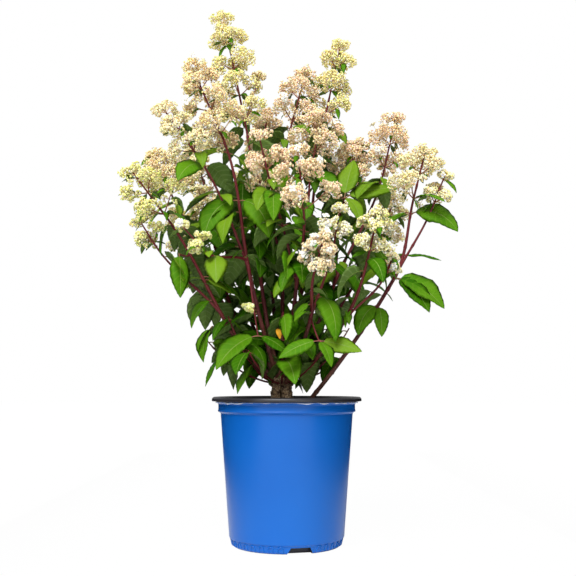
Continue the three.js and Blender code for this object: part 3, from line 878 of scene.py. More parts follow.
def notch_bars(margin):
    """Bars with sloping cheeks, for the notches round the foot, grown by a margin."""
    foot = NOTCH_WIDTH / 2 + margin
    top = NOTCH_WIDTH / 2 - NOTCH_SLOPE + margin
    height = NOTCH_HEIGHT + margin
    outline = [(-foot, -10), (foot, -10), (foot, 1), (top, height), (-top, height), (-foot, 1)]
    inner, outer = FOOT_RADIUS - NOTCH_DEPTH - margin, FOOT_RADIUS + 20
    points, faces = [], []
    for i in range(NOTCHES):
        angle = math.radians(NOTCH_BEARING) + 2 * math.pi * i / NOTCHES
        outward = np.array([math.sin(angle), -math.cos(angle), 0])
        along = np.array([math.cos(angle), math.sin(angle), 0])
        first = len(points)
        for depth in (inner, outer):
            points.extend(outward * depth + along * x + UP * z for x, z in outline)
        faces.append(tuple(first + k for k in range(5, -1, -1)))
        faces.append(tuple(first + 6 + k for k in range(6)))
        for k in range(6):
            after = (k + 1) % 6
            faces.append((first + k, first + after, first + 6 + after, first + 6 + k))
    return add_piece("bars", mesh_of("bars", points, faces))


def hand_over(piece, slot, *nodes, sharp=None):
    """Smooths a finished piece, lets it ride, and hides the solids it stands for. Its slot is not used."""
    for face in piece.data.polygons:
        face.use_smooth = True
    if sharp:
        piece.data.set_sharp_from_angle(angle=math.radians(sharp))
    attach(piece, "root")
    if nodes:
        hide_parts(*nodes)
    triangles = sum(len(face.vertices) - 2 for face in piece.data.polygons)
    print(piece.name, triangles, "triangles")


# %% Pot finishes
blue_plastic = finish_of(
    "blue plastic", (0.002, 0.100, 0.43), (0.003, 0.112, 0.46), 0.32,
    drift=(6, 1.0), grain=(900, 1, 0, 0.02), gloss=0.30)
black_plastic = finish_of(
    "black plastic", (0.012, 0.011, 0.015), (0.022, 0.021, 0.026), 0.38,
    drift=(14, 1.0), grain=(700, 1, 0, 0.03))
# a near-white strip that wanders just under the black lip
whitish_strip = finish_of(
    "whitish strip under lip", (0.80, 0.82, 0.88), (0.45, 0.55, 0.75), 0.6, drift=(90, 1.0))
print("pot finishes:", blue_plastic.name + ",", black_plastic.name + ",", whitish_strip.name)

# %% Pot wall
outside = rounded(
    [(0, 0), (FOOT_RADIUS - 3, 0), (FOOT_RADIUS, 3), (FOOT_TOP_RADIUS, FOOT_HEIGHT),
     (WALL_FOOT_RADIUS, FOOT_HEIGHT + 2), (WALL_TOP_RADIUS, COLLAR_FOOT),
     (COLLAR_RADIUS + 1, COLLAR_FOOT + 3), (COLLAR_RADIUS, COLLAR_FOOT + 6),
     (COLLAR_RADIUS, WALL_TOP - 4), (COLLAR_RADIUS + 3.8, WALL_TOP - 1),
     (COLLAR_RADIUS + 3, WALL_TOP), (0, WALL_TOP)],
    [0, 1.5, 1.5, 1, 1, 1.2, 1.2, 1.5, 1.5, 0.5, 0.3, 0])
inside = [(0, WALL), (FOOT_RADIUS - WALL, WALL), (WALL_FOOT_RADIUS - WALL, FOOT_HEIGHT + 4),
          (WALL_TOP_RADIUS - WALL, COLLAR_FOOT), (WALL_TOP_RADIUS, WALL_TOP + 5), (0, WALL_TOP + 5)]
pot_wall = add_piece("pot_shell", spun("pot_shell", outside))
cut(pot_wall, notch_bars(0))
hollow = add_piece("hollow", spun("hollow", inside))
cut(hollow, notch_bars(WALL))
cut(pot_wall, hollow)
pot_wall.data.materials.clear()
pot_wall.data.materials.append(blue_plastic)
pot_wall.data.materials.append(black_plastic)
for face in pot_wall.data.polygons:
    spot, normal = face.center, face.normal
    away = math.hypot(spot.x, spot.y)
    inward = normal.x * spot.x + normal.y * spot.y < -0.2 * away
    on_the_floor = away < (FOOT_RADIUS - WALL - 0.5) * MM
    face.material_index = 1 if inward or on_the_floor else 0
hand_over(pot_wall, "pot_blue", "pot_wall", sharp=35)

# %% Lip
low, high = POT_HEIGHT - LIP_THICKNESS, POT_HEIGHT
lip = rounded(
    [(LIP_INNER_RADIUS, low), (LIP_RADIUS - 0.4, low), (LIP_RADIUS, low + 0.6),
     (LIP_RADIUS - 0.2, high - 2.4), (LIP_RADIUS - 2.6, high), (LIP_INNER_RADIUS + 2, high),
     (LIP_INNER_RADIUS, high - 2), (LIP_INNER_RADIUS, low)],
    [0, 0.3, 0.3, 1.2, 1.2, 1, 1, 0])
pot_lip = add_piece("rolled_lip", spun("rolled_lip", lip))
pot_lip.data.materials.append(black_plastic)
hand_over(pot_lip, "lip_black", "pot_lip", sharp=40)

# %% Small arches moulded round the foot
ARCH = [(-3.4, 2.8), (-3.4, 7.8), (-2.4, 10.2), (0, 11.3), (2.4, 10.2), (3.4, 7.8), (3.4, 2.8)]
ARCHES, ARCH_THICKNESS, CLEAR_OF_NOTCH = 36, 1.15, 19
arches = []
for i in range(ARCHES):
    turn = 360 / ARCHES * i + 4
    turns_away = [turn - NOTCH_BEARING - 360 / NOTCHES * k for k in range(NOTCHES)]
    if min(abs((away + 180) % 360 - 180) for away in turns_away) < CLEAR_OF_NOTCH:
        continue
    line = []
    for x, z in ARCH:
        share = (z - 3) / (FOOT_HEIGHT - 3)
        radius = FOOT_RADIUS + share * (FOOT_TOP_RADIUS - FOOT_RADIUS) + 0.1
        angle = math.radians(turn) + x / radius
        line.append((radius * math.sin(angle), -radius * math.cos(angle), z))
    arches.append((np.array(line), np.full(len(line), ARCH_THICKNESS)))
foot_arches = tubes("foot_arches", arches, 6, blue_plastic)
hand_over(foot_arches, "pot_blue")

# %% A ragged whitish strip just under the lip
STRIP_STEPS, STRIP_INSIDE, STRIP_OUTSIDE = 240, 108.9, 109.1
turns = np.arange(STRIP_STEPS) * 2 * math.pi / STRIP_STEPS
wander = [noise.noise(Vector((math.sin(a) * 9, math.cos(a) * 9, 0.3))) for a in turns]
points = []
for radius, lift in ((STRIP_INSIDE, 0.0), (STRIP_OUTSIDE, 0.0), (STRIP_OUTSIDE, -1.0), (STRIP_INSIDE, -1.0)):
    for a, w in zip(turns, wander):
        z = WALL_TOP - 0.9 + lift * (0.5 + 3.0 * max(w, -0.1))
        points.append((radius * math.sin(a), -radius * math.cos(a), z))
faces = []
for ring in range(4):
    here, there = ring * STRIP_STEPS, (ring + 1) % 4 * STRIP_STEPS
    for i in range(STRIP_STEPS):
        j = (i + 1) % STRIP_STEPS
        faces.append((here + i, there + i, there + j, here + j))
film_edge = add_piece("film_edge", mesh_of("film_edge", points, faces))
film_edge.data.materials.append(whitish_strip)
hand_over(film_edge, "pot_blue")

# %% [markdown]
# ## The growing medium
#
# The pot is filled with dark, moist bark and peat to a finger's width or so below the lip. Its top is
# lumpy, with chips of bark lying on it. A disc with raised noise gives the lumps, and the chips are one
# small wedge stood on points by the scatter tree.

# %% Soil
soil_finish = finish_of(
    "moist peat", (0.040, 0.024, 0.014), (0.016, 0.010, 0.007), 0.95,
    drift=(120, 1.0), specks=(420, 0.16, (0.11, 0.075, 0.045)), grain=(500, 1, 0, 1.2))


def soil_height(x, y):
    """How high the soil lies at a place, a little mounded round the crown."""
    broad = noise.noise(Vector((x * 0.06, y * 0.06, 0.0))) * 1.6
    fine = noise.noise(Vector((x * 0.2, y * 0.2, 5.0))) * 0.8
    mound = 2.5 * math.exp(-((x - CROWN[0]) ** 2 + y * y) / 900)
    return SOIL_TOP - 1.5 + (broad + fine) + mound


fill_radius = WALL_TOP_RADIUS - WALL - GAP
behind_notches = FOOT_RADIUS - WALL - GAP - NOTCH_DEPTH
rings = [(0, WALL + GAP), (behind_notches, WALL + GAP), (behind_notches, 14),
         (WALL_FOOT_RADIUS - WALL - GAP, 16), (fill_radius, SOIL_TOP - 6)]
rings += [(r, SOIL_TOP) for r in np.linspace(fill_radius - 1, 0, 30)]
soil = add_piece("peat", spun("peat", rings, 120))
for vertex in soil.data.vertices:
    if vertex.co.z > (SOIL_TOP - 1) * MM:
        vertex.co.z = soil_height(vertex.co.x / MM, vertex.co.y / MM) * MM
soil.data.materials.append(soil_finish)
hand_over(soil, "growing_medium", "growing_medium")

# %% Bark chips
CHIPS, CHIP_REACH = 420, 94
BARE_PATCH, BARE_PATCH_RADIUS = (31, -10), 8  # beside the crown, without chips
chip_finish = finish_of(
    "bark chips", (0.105, 0.055, 0.030), (0.040, 0.022, 0.013), 0.85,
    drift=(60, 1.0), grain=(400, 0.3, 0, 0.8))
chip = add_piece("chip", mesh_of("chip", [
    (-1, -0.5, -0.2), (1.1, -0.35, -0.2), (0.9, 0.45, -0.2), (-0.8, 0.6, -0.2),
    (-0.8, -0.35, 0.2), (0.85, -0.3, 0.25), (0.7, 0.3, 0.15), (-0.6, 0.4, 0.25)],
    [(3, 2, 1, 0), (4, 5, 6, 7), (0, 1, 5, 4), (1, 2, 6, 5), (2, 3, 7, 6), (3, 0, 4, 7)]))
spots, facings = [], []
while len(spots) < CHIPS:
    x, y = detail.uniform(-CHIP_REACH - 1, CHIP_REACH + 1, 2)
    off_crown = math.hypot(x - CROWN[0], y) > CROWN_RADIUS + 1
    off_patch = math.hypot(x - BARE_PATCH[0], y - BARE_PATCH[1]) > BARE_PATCH_RADIUS
    if math.hypot(x, y) < CHIP_REACH and off_crown and off_patch:
        spots.append((x, y, soil_height(x, y) + 0.6))
        facings.append(unit(np.array([*detail.normal(0, 0.35, 2), 1.0])))
sizes = detail.uniform(2.0, 5.5, CHIPS)
turns = detail.uniform(0, 6.28, CHIPS)
chips = scattered("bark_chips", chip, chip_finish, spots, facings, sizes, turns)
hand_over(chips, "growing_medium", sharp=30)

# %% [markdown]
# ## The crown
#
# Years of pruning leave a knuckle of old wood: three short stubs under a knobbly burl, with flaking
# grey-brown bark. It could be carved. It is merged here from the source's three stubs and burl by a
# voxel remesh, as clay is pressed together, and noise along the normals raises the knobs and the bark's
# cracks.

# %% Crown
KNOBS = [
    ((0, 0, 0), 12.5), ((-11, -4, 0), 8.5), ((10, -5, 1), 9), ((0, 9, 1), 8.5), ((-7, 7, 2), 8),
    ((8, 7, 0), 8), ((2, -9, 1), 8), ((-14, 3, -3), 6), ((14, 2, -2), 6),
]  # each by its offset from the burl's middle, and its radius
old_bark = finish_of(
    "old bark", (0.40, 0.27, 0.15), (0.060, 0.032, 0.018), 0.9,
    drift=(210, 1.0), specks=(300, 0.3, (0.50, 0.39, 0.25)), grain=(260, 3.0, 0.6, 2.2))


def stub_strand(x, y, lean, radius):
    """A stub from the soil up into the burl, at a place beside the crown's middle."""
    line = Bow((CROWN[0] + x, y, SOIL_TOP - 4), (CROWN[0] + x + lean, y, SOIL_TOP + 24),
               (CROWN[0] + x * 0.7, y * 0.55, CROWN_TOP - 2))
    return line.at(np.linspace(0, 1, 12)), np.linspace(radius * 1.12, radius * 0.92, 12)


def knob_strand(middle, radius):
    """A knob of the burl, as a short upright tube that is thickest half way up."""
    points = [middle + UP * radius * lift for lift in (-0.86, -0.5, 0, 0.5, 0.86)]
    return np.array(points), np.array([0.3, 0.82, 1.0, 0.82, 0.3]) * radius


burl = CROWN + UP * (CROWN_TOP - 4 - SOIL_TOP)
wood = [stub_strand(-9.5, -4, -2, 7.2), stub_strand(8.5, -3, 2, 8.4), stub_strand(1, 9, 0, 7)]
wood += [knob_strand(burl + np.array(offset), radius) for offset, radius in KNOBS]
crown = tubes("old_crown", wood, 14, old_bark)
merge = crown.modifiers.new("merge", "REMESH")
merge.mode = "VOXEL"
merge.voxel_size = 1.0 * MM
merged = bpy.data.meshes.new_from_object(crown.evaluated_get(bpy.context.evaluated_depsgraph_get()))
crown.modifiers.clear()
crown.data = merged
# broad knobs, smaller ones and grit, then cracks that run up the wood
for vertex in crown.data.vertices:
    p = vertex.co / MM
    knob = noise.noise(p * 0.16) * 1.8 + noise.noise(p * 0.40) * 1.5 + noise.noise(p * 0.95) * 0.6
    crack = -abs(noise.noise(Vector((p.x * 0.5, p.y * 0.5, p.z * 0.12)))) * 2.2
    vertex.co += vertex.normal * (knob + crack) * MM
crown.data.materials.clear()
crown.data.materials.append(old_bark)
hand_over(crown, "old_bark", "crown")

# %% [markdown]
# ## Canes and shoots
#
# A cane's bark is brown and rough low down, and turns smooth and burgundy further up, dotted with pale
# pores. It swells a little at each pair of leaf scars. Each cane is a tube along its bow, thickened at
# those nodes, and roughened by the tree's relief. Shoots are the same in redder, smoother bark.

# %% Bark finishes
cane_bark = finish_of(
    "cane bark", (0.150, 0.062, 0.036), (0.050, 0.010, 0.014), 0.55,
    drift=(45, 0.75), rise=((0.105, 0.013, 0.016), 0.25, 0.37), specks=(330, 0.17, (0.30, 0.16, 0.10)),
    grain=(300, 6.0, 0.3, 0.35), gloss=0.25)
shoot_skin = finish_of(
    "shoot skin", (0.110, 0.010, 0.015), (0.165, 0.026, 0.026), 0.45,
    drift=(30, 0.8), specks=(420, 0.13, (0.30, 0.12, 0.08)), grain=(500, 4.0, 0, 0.12), gloss=0.25)
red_stalk = finish_of(
    "red stalks", (0.230, 0.045, 0.040), (0.240, 0.105, 0.040), 0.5, drift=(60, 1.0))
pale_stalk = finish_of(
    "flower stalks", (0.860, 0.610, 0.430), (0.800, 0.740, 0.400), 0.7, drift=(90, 1.0), gloss=0.2)
print("bark finishes:", [finish.name for finish in (cane_bark, shoot_skin, red_stalk, pale_stalk)])


# %% Canes
SWELL, SWELL_REACH = 0.55, 2.6  # how high a node stands out of its stem, and how far along it, in mm


def swellings(shares, length, spacing):
    """How much thicker a stem is at each share of its length, for a node every spacing."""
    off = np.abs((shares * length / spacing + 0.35) % 1 - 0.5) * spacing
    return SWELL * np.exp(-((off / SWELL_REACH) ** 2))


def stem_strand(line, radius, tip_radius, spacing, step=3.0):
    """A stem along a line, a little thicker at each of its nodes."""
    shares = np.linspace(0, 1, max(4, int(line.length / step)))
    radii = radius + (tip_radius - radius) * shares + swellings(shares, line.length, spacing)
    return line.at(shares), radii


CANE_RADIUS, CANE_TIP_RADIUS, SCAR_SPACING = 3.5, 2.8, 38
strands = [stem_strand(line, CANE_RADIUS, CANE_TIP_RADIUS, SCAR_SPACING, step=1.6) for _, line in canes]
cane_piece = tubes("bare_canes", strands, 14, cane_bark, relief=0.5, relief_scale=420.0)
hand_over(cane_piece, "cane_bark", *["cane_" + name for name, _ in canes])

# %% [markdown]
# ## Panicles
#
# Each bunch of florets is a small tree of its own: a red branch splits into short arms, and each arm
# carries a tuft of hair-thin stalks that end in round buds and five-pointed open florets. A bunch could
# be a textured ball, but its edge would be smooth. Here every stalk is a line for the tube tree, and
# every floret a point for the scatter tree. Some bunches also bear four-petalled showy florets.
#
# The photograph shows lime and cream panicles at the outside and blush ones in the middle, so each
# panicle is dealt plain tints of its own.

# %% Floret shapes
def bud_shape():
    """A round bud, one unit across its half width, on five sides."""
    points = [(0, 0, -0.75)]
    for height, radius in ((-0.35, 0.75), (0.3, 1.0)):
        for a in np.arange(5) * 2 * math.pi / 5:
            points.append((radius * math.cos(a), radius * math.sin(a), height))
    points.append((0, 0, 1.0))
    faces = [(0, 1 + (i + 1) % 5, 1 + i) for i in range(5)]
    faces += [(1 + i, 1 + (i + 1) % 5, 6 + (i + 1) % 5, 6 + i) for i in range(5)]
    faces += [(6 + i, 6 + (i + 1) % 5, 11) for i in range(5)]
    return points, faces


def star_shape():
    """An open floret: five pointed petals round a raised middle."""
    rim = []
    for i in range(10):
        radius, height = (1.5, 0.35) if i % 2 == 0 else (0.72, 0.2)
        a = i * math.pi / 5
        rim.append((radius * math.cos(a), radius * math.sin(a), height))
    points = rim + [(0, 0, 0.8), (0, 0, -0.6)]
    faces = [(i, (i + 1) % 10, 10) for i in range(10)] + [((i + 1) % 10, i, 11) for i in range(10)]
    return points, faces


def showy_shape():
    """A showy floret: four broad overlapping petals, each a thin curved shell."""
    points, faces = [], []
    for petal in range(4):
        turn = petal * math.pi / 2
        cos, sin = math.cos(turn), math.sin(turn)
        first = len(points)
        for side in (0.06, -0.06):
            for out, width in ((0.05, 0.1), (0.45, 0.52), (0.95, 0.5), (1.2, 0.08)):
                for across in (-1, 0, 1):
                    y = width * across
                    z = 0.28 * out - 0.22 * out * out + 0.12 * abs(across) + side + 0.05 * (petal % 2)
                    points.append((out * cos - y * sin, out * sin + y * cos, z))
        for r in range(3):
            for c in range(2):
                a = first + r * 3 + c
                faces.append((a, a + 3, a + 4, a + 1))
                faces.append((a + 12, a + 13, a + 16, a + 15))
        rim = [first + i for i in (0, 1, 2, 5, 8, 11, 10, 9, 6, 3)]
        faces += [(a, b, b + 12, a + 12) for a, b in zip(rim, rim[1:] + rim[:1])]
    return points, faces


def shape_piece(name, shape):
    """A smooth piece from the points and faces of a small shape."""
    points, faces = shape
    mesh = mesh_of(name, np.array(points), faces)
    for face in mesh.polygons:
        face.use_smooth = True
    return add_piece(name, mesh)


# %% Tints, and which panicle has which
TINTS = {
    "lime": ((0.74, 0.77, 0.20), (0.88, 0.86, 0.38)),
    "butter": ((0.92, 0.76, 0.28), (0.96, 0.86, 0.44)),
    "cream": ((0.97, 0.84, 0.45), (0.98, 0.90, 0.57)),
    "blush": ((0.97, 0.65, 0.38), (0.98, 0.77, 0.49)),
    "rose": ((0.98, 0.59, 0.41), (0.99, 0.72, 0.54)),
    # a darker copy of blush: painted shade dealt among the blush florets
    "tan": ((0.92, 0.63, 0.34), (0.95, 0.74, 0.45)),
    "white": ((0.98, 0.91, 0.68), (0.99, 0.94, 0.79)),
}
MIXES = {
    "lime": ("lime", "lime", "cream", "butter"),
    "yellow": ("butter", "cream", "lime", "butter"),
    "cream": ("cream", "cream", "butter", "blush"),
    # the last tint of this mix is the darker blush, painted shade among its florets
    "blush": ("blush", "cream", "butter", "tan"),
    "rose": ("blush", "rose", "cream", "rose"),
    "white": ("white", "cream", "cream", "lime"),
    "pale": ("blush", "cream", "blush", "white"),
    "pied": ("cream", "lime", "white", "butter"),
}
PANICLE_MIX = {
    ("front_left", 0): "blush", ("front_left", 1): "cream", ("front_left", 2): "lime",
    ("tall", 0): "yellow", ("tall", 1): "blush", ("left", 0): "lime", ("left", 1): "lime",
    ("back_left", 0): "blush", ("back_left", 1): "cream", ("middle", 0): "rose", ("middle", 1): "rose",
    ("tall_right", 0): "yellow", ("tall_right", 1): "rose", ("front_middle", 0): "rose",
    ("front_middle", 1): "rose", ("front_low", 0): "pale", ("front_low", 1): "white",
    ("front_right", 0): "pied", ("front_right", 1): "cream", ("far_right", 0): "cream",
    ("far_right", 1): "cream", ("right", 0): "rose", ("right", 1): "rose",
}
tint_finish = {}
for name, (colour, other) in TINTS.items():
    finish = finish_of(name + " florets", colour, other, 0.8, drift=(160, 1.0), gloss=0.2)
    petal = finish.node_tree.nodes["Principled BSDF"]
    petal.inputs["Subsurface Weight"].default_value = 0.6
    petal.inputs["Subsurface Radius"].default_value = (1.0, 0.8, 0.45)
    petal.inputs["Subsurface Scale"].default_value = 2.5 * MM
    tint_finish[name] = finish
print("floret finishes:", list(tint_finish))

# %% [markdown]
# ### Bunches that stand out
#
# Two panicles low on the front are small and stand apart, and four bunches hang where the rule puts none.
# The rule's numbers could be bent until it grew them, but that would move everything else too. So they
# are given one by one, each on the limb that bears it.

# %% Small panicles and single bunches
CLOSE_PANICLES, CLOSENESS = [("mass_front_low", 0), ("mass_front_right", 0)], 0.8
# limb, how far up it, end, radius and mix
CLEAR_BUNCHES = [
    ("front_left", 0, 0.96, (-86, -55, 608), 17, "blush"),
    ("front_left", 0, 0.93, (-108, -62, 604), 14, "cream"),
    ("front_left", None, 0.66, (-56, -80, 360), 7, "lime"),
    ("tall", 0, 1.0, (-42, 12, 727), 9, "blush"),
]


def limb(name, rank):
    """The line of a shoot, or of its cane where rank is None."""
    if rank is None:
        return dict(canes)[name]
    return next(s["line"] for s in shoots if s["mass"] == "mass_" + name and s["rank"] == rank)


print(len(CLEAR_BUNCHES), "bunches beside the rule's", len(bunches))

# %% Directions for arms and stalks
GOLDEN_TURN = 2.39996


def directions(count, widest):
    """Even directions within an angle of straight ahead, as (sideways, sideways, ahead)."""
    ahead = 1 - (np.arange(count) + 0.5) / count * (1 - math.cos(widest))
    turns = np.arange(count) * GOLDEN_TURN
    flat = np.sqrt(1 - ahead**2)
    return np.stack([flat * np.cos(turns), flat * np.sin(turns), ahead], -1)


def frame_of(axis):
    """Two ways sideways and the way ahead, as the rows of a matrix."""
    side = unit(np.cross(axis, UP if abs(axis[2]) < 0.9 else np.array([1.0, 0, 0])))
    return np.stack([side, np.cross(axis, side), axis])


# %% Growing each bunch into arms, stalks and florets
ARMS, SIDE_TUFTS, HAIRS_PER_SHARE, SIDE_HAIRS = 9, 2, 34, 10
ARM_RADII = np.array([0.6, 0.5, 0.4])
ARM_SPREAD, TUFT_SPREAD, SIDE_TUFT_SPREAD = math.radians(95), math.radians(112), math.radians(115)
MAIN_TINT_SHARE, STAR_SHARE = 0.45, 0.72  # of the florets, in a mix's first tint, and open
FLATTEN = (1.12, 1.12, 0.78)
branch_strands, arm_strands, hair_strands = [], [], []
florets = {name: {"bud": [], "star": [], "showy": []} for name in TINTS}


def add_tuft(root, tuft, radius, hairs, widest, mix):
    """Stands florets on hair-thin stalks round the end of one arm."""
    basis = frame_of(unit(tuft - root))
    for hair in directions(hairs, widest) + detail.normal(0, 0.22, (hairs, 3)):
        out = unit(hair) @ basis
        end = tuft + out * radius * detail.uniform(0.62, 1.2)
        hair_strands.append((np.array([tuft + out * 0.3, end]), np.array([0.30, 0.28])))
        tint = mix[0] if detail.random() < MAIN_TINT_SHARE else mix[detail.integers(1, 4)]
        kind = "star" if detail.random() < STAR_SHARE else "bud"
        florets[tint][kind].append((end, out, detail.uniform(1.45, 2.25)))


def add_bunch(bunch, mix, showy=0):
    """Splits one bunch into arms of uneven length with their tufts, and adds side tufts to its branch."""
    from_, middle, radius = bunch["from"], bunch["to"], bunch["radius"]
    axis = unit(middle - from_)
    fork = middle - axis * radius * 0.8
    sag = UP * -0.06 * np.linalg.norm(fork - from_)
    branch = Bow(from_, (from_ + fork) / 2 + sag, fork)
    branch_strands.append((branch.at(np.linspace(0, 1, 6)), np.linspace(1.0, 0.75, 6)))
    basis = frame_of(axis)
    for arm in directions(ARMS, ARM_SPREAD) + detail.normal(0, 0.16, (ARMS, 3)):
        way = unit(arm) @ basis
        flat = way - axis * (way @ axis)
        far = detail.uniform(0.55, 1.26)
        tuft = (flat * 0.86 + axis * (way @ axis) * 0.62) * radius * far - axis * radius * 0.38
        tuft = middle + tuft * FLATTEN
        arm_strands.append((np.array([fork, (fork + tuft) / 2 + axis * 0.6, tuft]), ARM_RADII))
        share = detail.uniform(0.30, 0.50)
        add_tuft(fork, tuft, radius * share, round(HAIRS_PER_SHARE * share), TUFT_SPREAD, mix)
    for _ in range(SIDE_TUFTS):
        start = branch.at(detail.uniform(0.3, 0.8))
        way = unit(detail.normal(0, 1, 3) + axis * 0.6)
        tuft = start + way * radius * detail.uniform(0.5, 0.95)
        arm_strands.append((np.array([start, (start + tuft) / 2, tuft]), ARM_RADII))
        add_tuft(start, tuft, radius * detail.uniform(0.25, 0.42), SIDE_HAIRS, SIDE_TUFT_SPREAD, mix)
    for _ in range(showy):
        way = unit(detail.normal(0, 1, 3) * 0.7 + np.array([0, -1.0, 0.5]))
        end = middle + way * radius * 1.1
        hair_strands.append((np.array([middle, end]), np.array([0.4, 0.35])))
        florets["white"]["showy"].append((end, way, detail.uniform(3.8, 5.4)))


# %% Every bunch of the plant
# how often a bunch of each mix bears showy florets
SHOWY_SHARE = {
    "rose": 0.3, "pale": 0.8, "pied": 0.3, "white": 0.35,
    "lime": 0.15, "blush": 0.3, "yellow": 0.1, "cream": 0.2,
}
for bunch in bunches:
    shoot = bunch["shoot"]
    closer = CLOSENESS if (shoot["mass"], shoot["rank"]) in CLOSE_PANICLES else 1
    bunch["to"] = bunch["from"] + (bunch["to"] - bunch["from"]) * closer
    bunch["radius"] *= closer
    mix_name = PANICLE_MIX.get((shoot["mass"][5:], shoot["rank"]), "cream")
    showy = int(detail.random() < SHOWY_SHARE[mix_name]) * int(detail.integers(1, 4))
    add_bunch(bunch, MIXES[mix_name], showy)
for mass, rank, share, end, radius, mix_name in CLEAR_BUNCHES:
    bunch = {"from": limb(mass, rank).at(share), "to": np.array(end, float), "radius": radius}
    add_bunch(bunch, MIXES[mix_name])
floret_count = sum(len(rows) for kinds in florets.values() for rows in kinds.values())
print(floret_count, "florets on", len(arm_strands), "arms")

# %% Florets stood on their stalks
mass_nodes = sorted({shoot["mass"] for shoot in shoots})
for tint, kinds in florets.items():
    made = []
    for kind, shape in (("bud", bud_shape()), ("star", star_shape()), ("showy", showy_shape())):
        rows = kinds[kind]
        if not rows:
            continue
        spots, facings, sizes = zip(*rows)
        turns = detail.uniform(0, 6.28, len(rows))
        made.append(scattered(f"{tint}_{kind}_florets", shape_piece(kind, shape), tint_finish[tint],
                              spots, facings, sizes, turns))
    for piece in made:
        hand_over(piece, "foliage", *mass_nodes)

# %% [markdown]
# ### Leaves that stand out
#
# Some large leaves catch the eye in the photograph, such as the bright group high on the right and the
# pairs beside the bare canes. No rule gives those, so they are listed. Each stands on a shoot, on a cane
# or at the end of a short twig that leaves one.

# %% Clear leaves and their twigs
# Each row: the cane's name, the rank of its shoot or None for the cane, how far up, where a twig ends or
# None for no twig, then the leaves: bearing, length, slope at the base, slope at the tip, roll and tint.
# a deep tint here is painted shade, and a fresh one painted light
CLEAR_TWIGS = [
    ("right", 1, 0.60, (90, 15, 537), [(64, 78, 74, 52, 5, "fresh"), (14, 92, 30, 2, 52, "fresh"),
                                       (-58, 68, 0, -78, 10, "fresh"), (165, 46, 10, -60, 0, "green")]),
    ("front_left", 0, 0.52, None, [(-150, 88, 14, -84, -44, "green"), (-32, 88, 14, -86, 44, "green")]),
    ("far_right", 0, 0.80, None, [(-16, 86, 44, -62, 46, "green"), (165, 46, 30, -50, 0, "fresh")]),
    ("far_right", 0, 0.02, None, [(-12, 92, 2, -54, 44, "green"), (-26, 80, -10, -66, 40, "deep")]),
    ("far_right", 0, 0.30, None, [(-14, 60, 24, -28, 12, "deep")]),
    ("far_right", None, 0.82, None, [(-150, 64, 0, -84, -40, "green"), (-76, 54, -30, -98, 12, "green")]),
    ("left", None, 0.92, (-112, -36, 334), [(-150, 58, -40, -98, -12, "green")]),
    ("left", 0, 0.60, (-160, -50, 441), [(-78, 76, -24, -100, -10, "green")]),
    ("left", 0, 0.92, None, [(-172, 54, -46, -96, -10, "green")]),
    ("tall", 1, 0.86, (-66, -22, 556), [(-158, 62, 8, -72, -20, "green"), (-28, 58, 0, -84, 18, "deep"),
                                        (-90, 66, -30, -92, 0, "deep")]),
    ("front_middle", None, 0.52, (-14, -58, 330), [(-70, 22, -10, -80, 10, "gold")]),
    ("left", 0, 0.18, None, [(-160, 60, 0, -84, -15, "green")]),
    ("front_low", 0, 0.10, (46, -112, 309), [(-14, 64, -2, -22, 56, "fresh"),
                                             (188, 64, 0, -38, -50, "green"),
                                             (-60, 52, -10, -74, 0, "green")]),
    ("front_left", 0, 0.05, (-42, -70, 318), [(-160, 84, 0, -62, -35, "green"),
                                              (-20, 60, 0, -50, 30, "deep")]),
]
clear_leaves, clear_twigs = [], []
for mass, rank, share, end, rows in CLEAR_TWIGS:
    node = limb(mass, rank).at(share)
    if end:
        end = np.array(end, float)
        twig = Bow(node, (node + end) / 2 - UP * 4, end)
        clear_twigs.append((twig.at(np.linspace(0, 1, 14)), np.linspace(1.5, 1.1, 14)))
        node = twig.at(1.0)
    for bearing, length, *slopes, tint in rows:
        pose = (math.radians(bearing), length, *[math.radians(v) for v in slopes])
        clear_leaves.append({"root": node, "pose": pose, "tint": tint})
print(len(clear_leaves), "clear leaves,", len(clear_twigs), "twigs for them")


# %% Stems, with the twigs of the clear leaves
def drawn_on(line, tip):
    """A line that goes on straight to a tip."""
    longer = copy.copy(line)
    onward = (tip - line.points[-1]) * np.linspace(0.02, 1, 40)[:, None]
    longer.measure(np.concatenate([line.points, line.points[-1] + onward]))
    return longer


MAIN_SHOOT_RADIUS, SIDE_SHOOT_RADIUS, SHOOT_TIP_RADIUS = 2.8, 2.2, 1.1
BASAL_RADIUS, BASAL_TIP_RADIUS = 1.6, 1.0
stems = []
for shoot in shoots:
    whole = drawn_on(shoot["line"], shoot["top"] * 0.88 + shoot["neck"] * 0.12)
    radius = SIDE_SHOOT_RADIUS if shoot["rank"] else MAIN_SHOOT_RADIUS
    stems.append(stem_strand(whole, radius, SHOOT_TIP_RADIUS, LEAF_PAIR_SPACING))
for stem in basal:
    stems.append(stem_strand(stem["line"], BASAL_RADIUS, BASAL_TIP_RADIUS, LEAF_PAIR_SPACING * 0.8))
stems += clear_twigs
all_masses = mass_nodes + [stem["mass"] for stem in basal]
stem_piece = tubes("shoot_stems", stems, 9, shoot_skin, relief=0.25, relief_scale=420.0)
hand_over(stem_piece, "foliage", *all_masses)

# %% Branches, arms and hair-thin stalks
for name, strands, sides, finish in (
    ("panicle_branches", branch_strands, 6, red_stalk),
    ("bunch_arms", arm_strands, 4, pale_stalk),
    ("floret_stalks_1", hair_strands[::2], 3, pale_stalk),
    ("floret_stalks_2", hair_strands[1::2], 3, pale_stalk),
):
    hand_over(tubes(name, strands, sides, finish), "foliage", *mass_nodes)

# %% [markdown]
# ## Leaves
#
# A leaf of this shrub is a pointed oval with a toothed edge, quilted between its side veins, paler
# beneath, and hangs from a pinkish stalk. It could be a flat card with a picture of a leaf. Here each is
# a thin closed shell of a few rows and columns along the same bent spine as its solid: every second row
# lies on a vein and is pressed down, which gives the quilting and the teeth together. A narrow middle
# column is the pale midrib. Tints are plain colours, dealt out leaf by leaf.

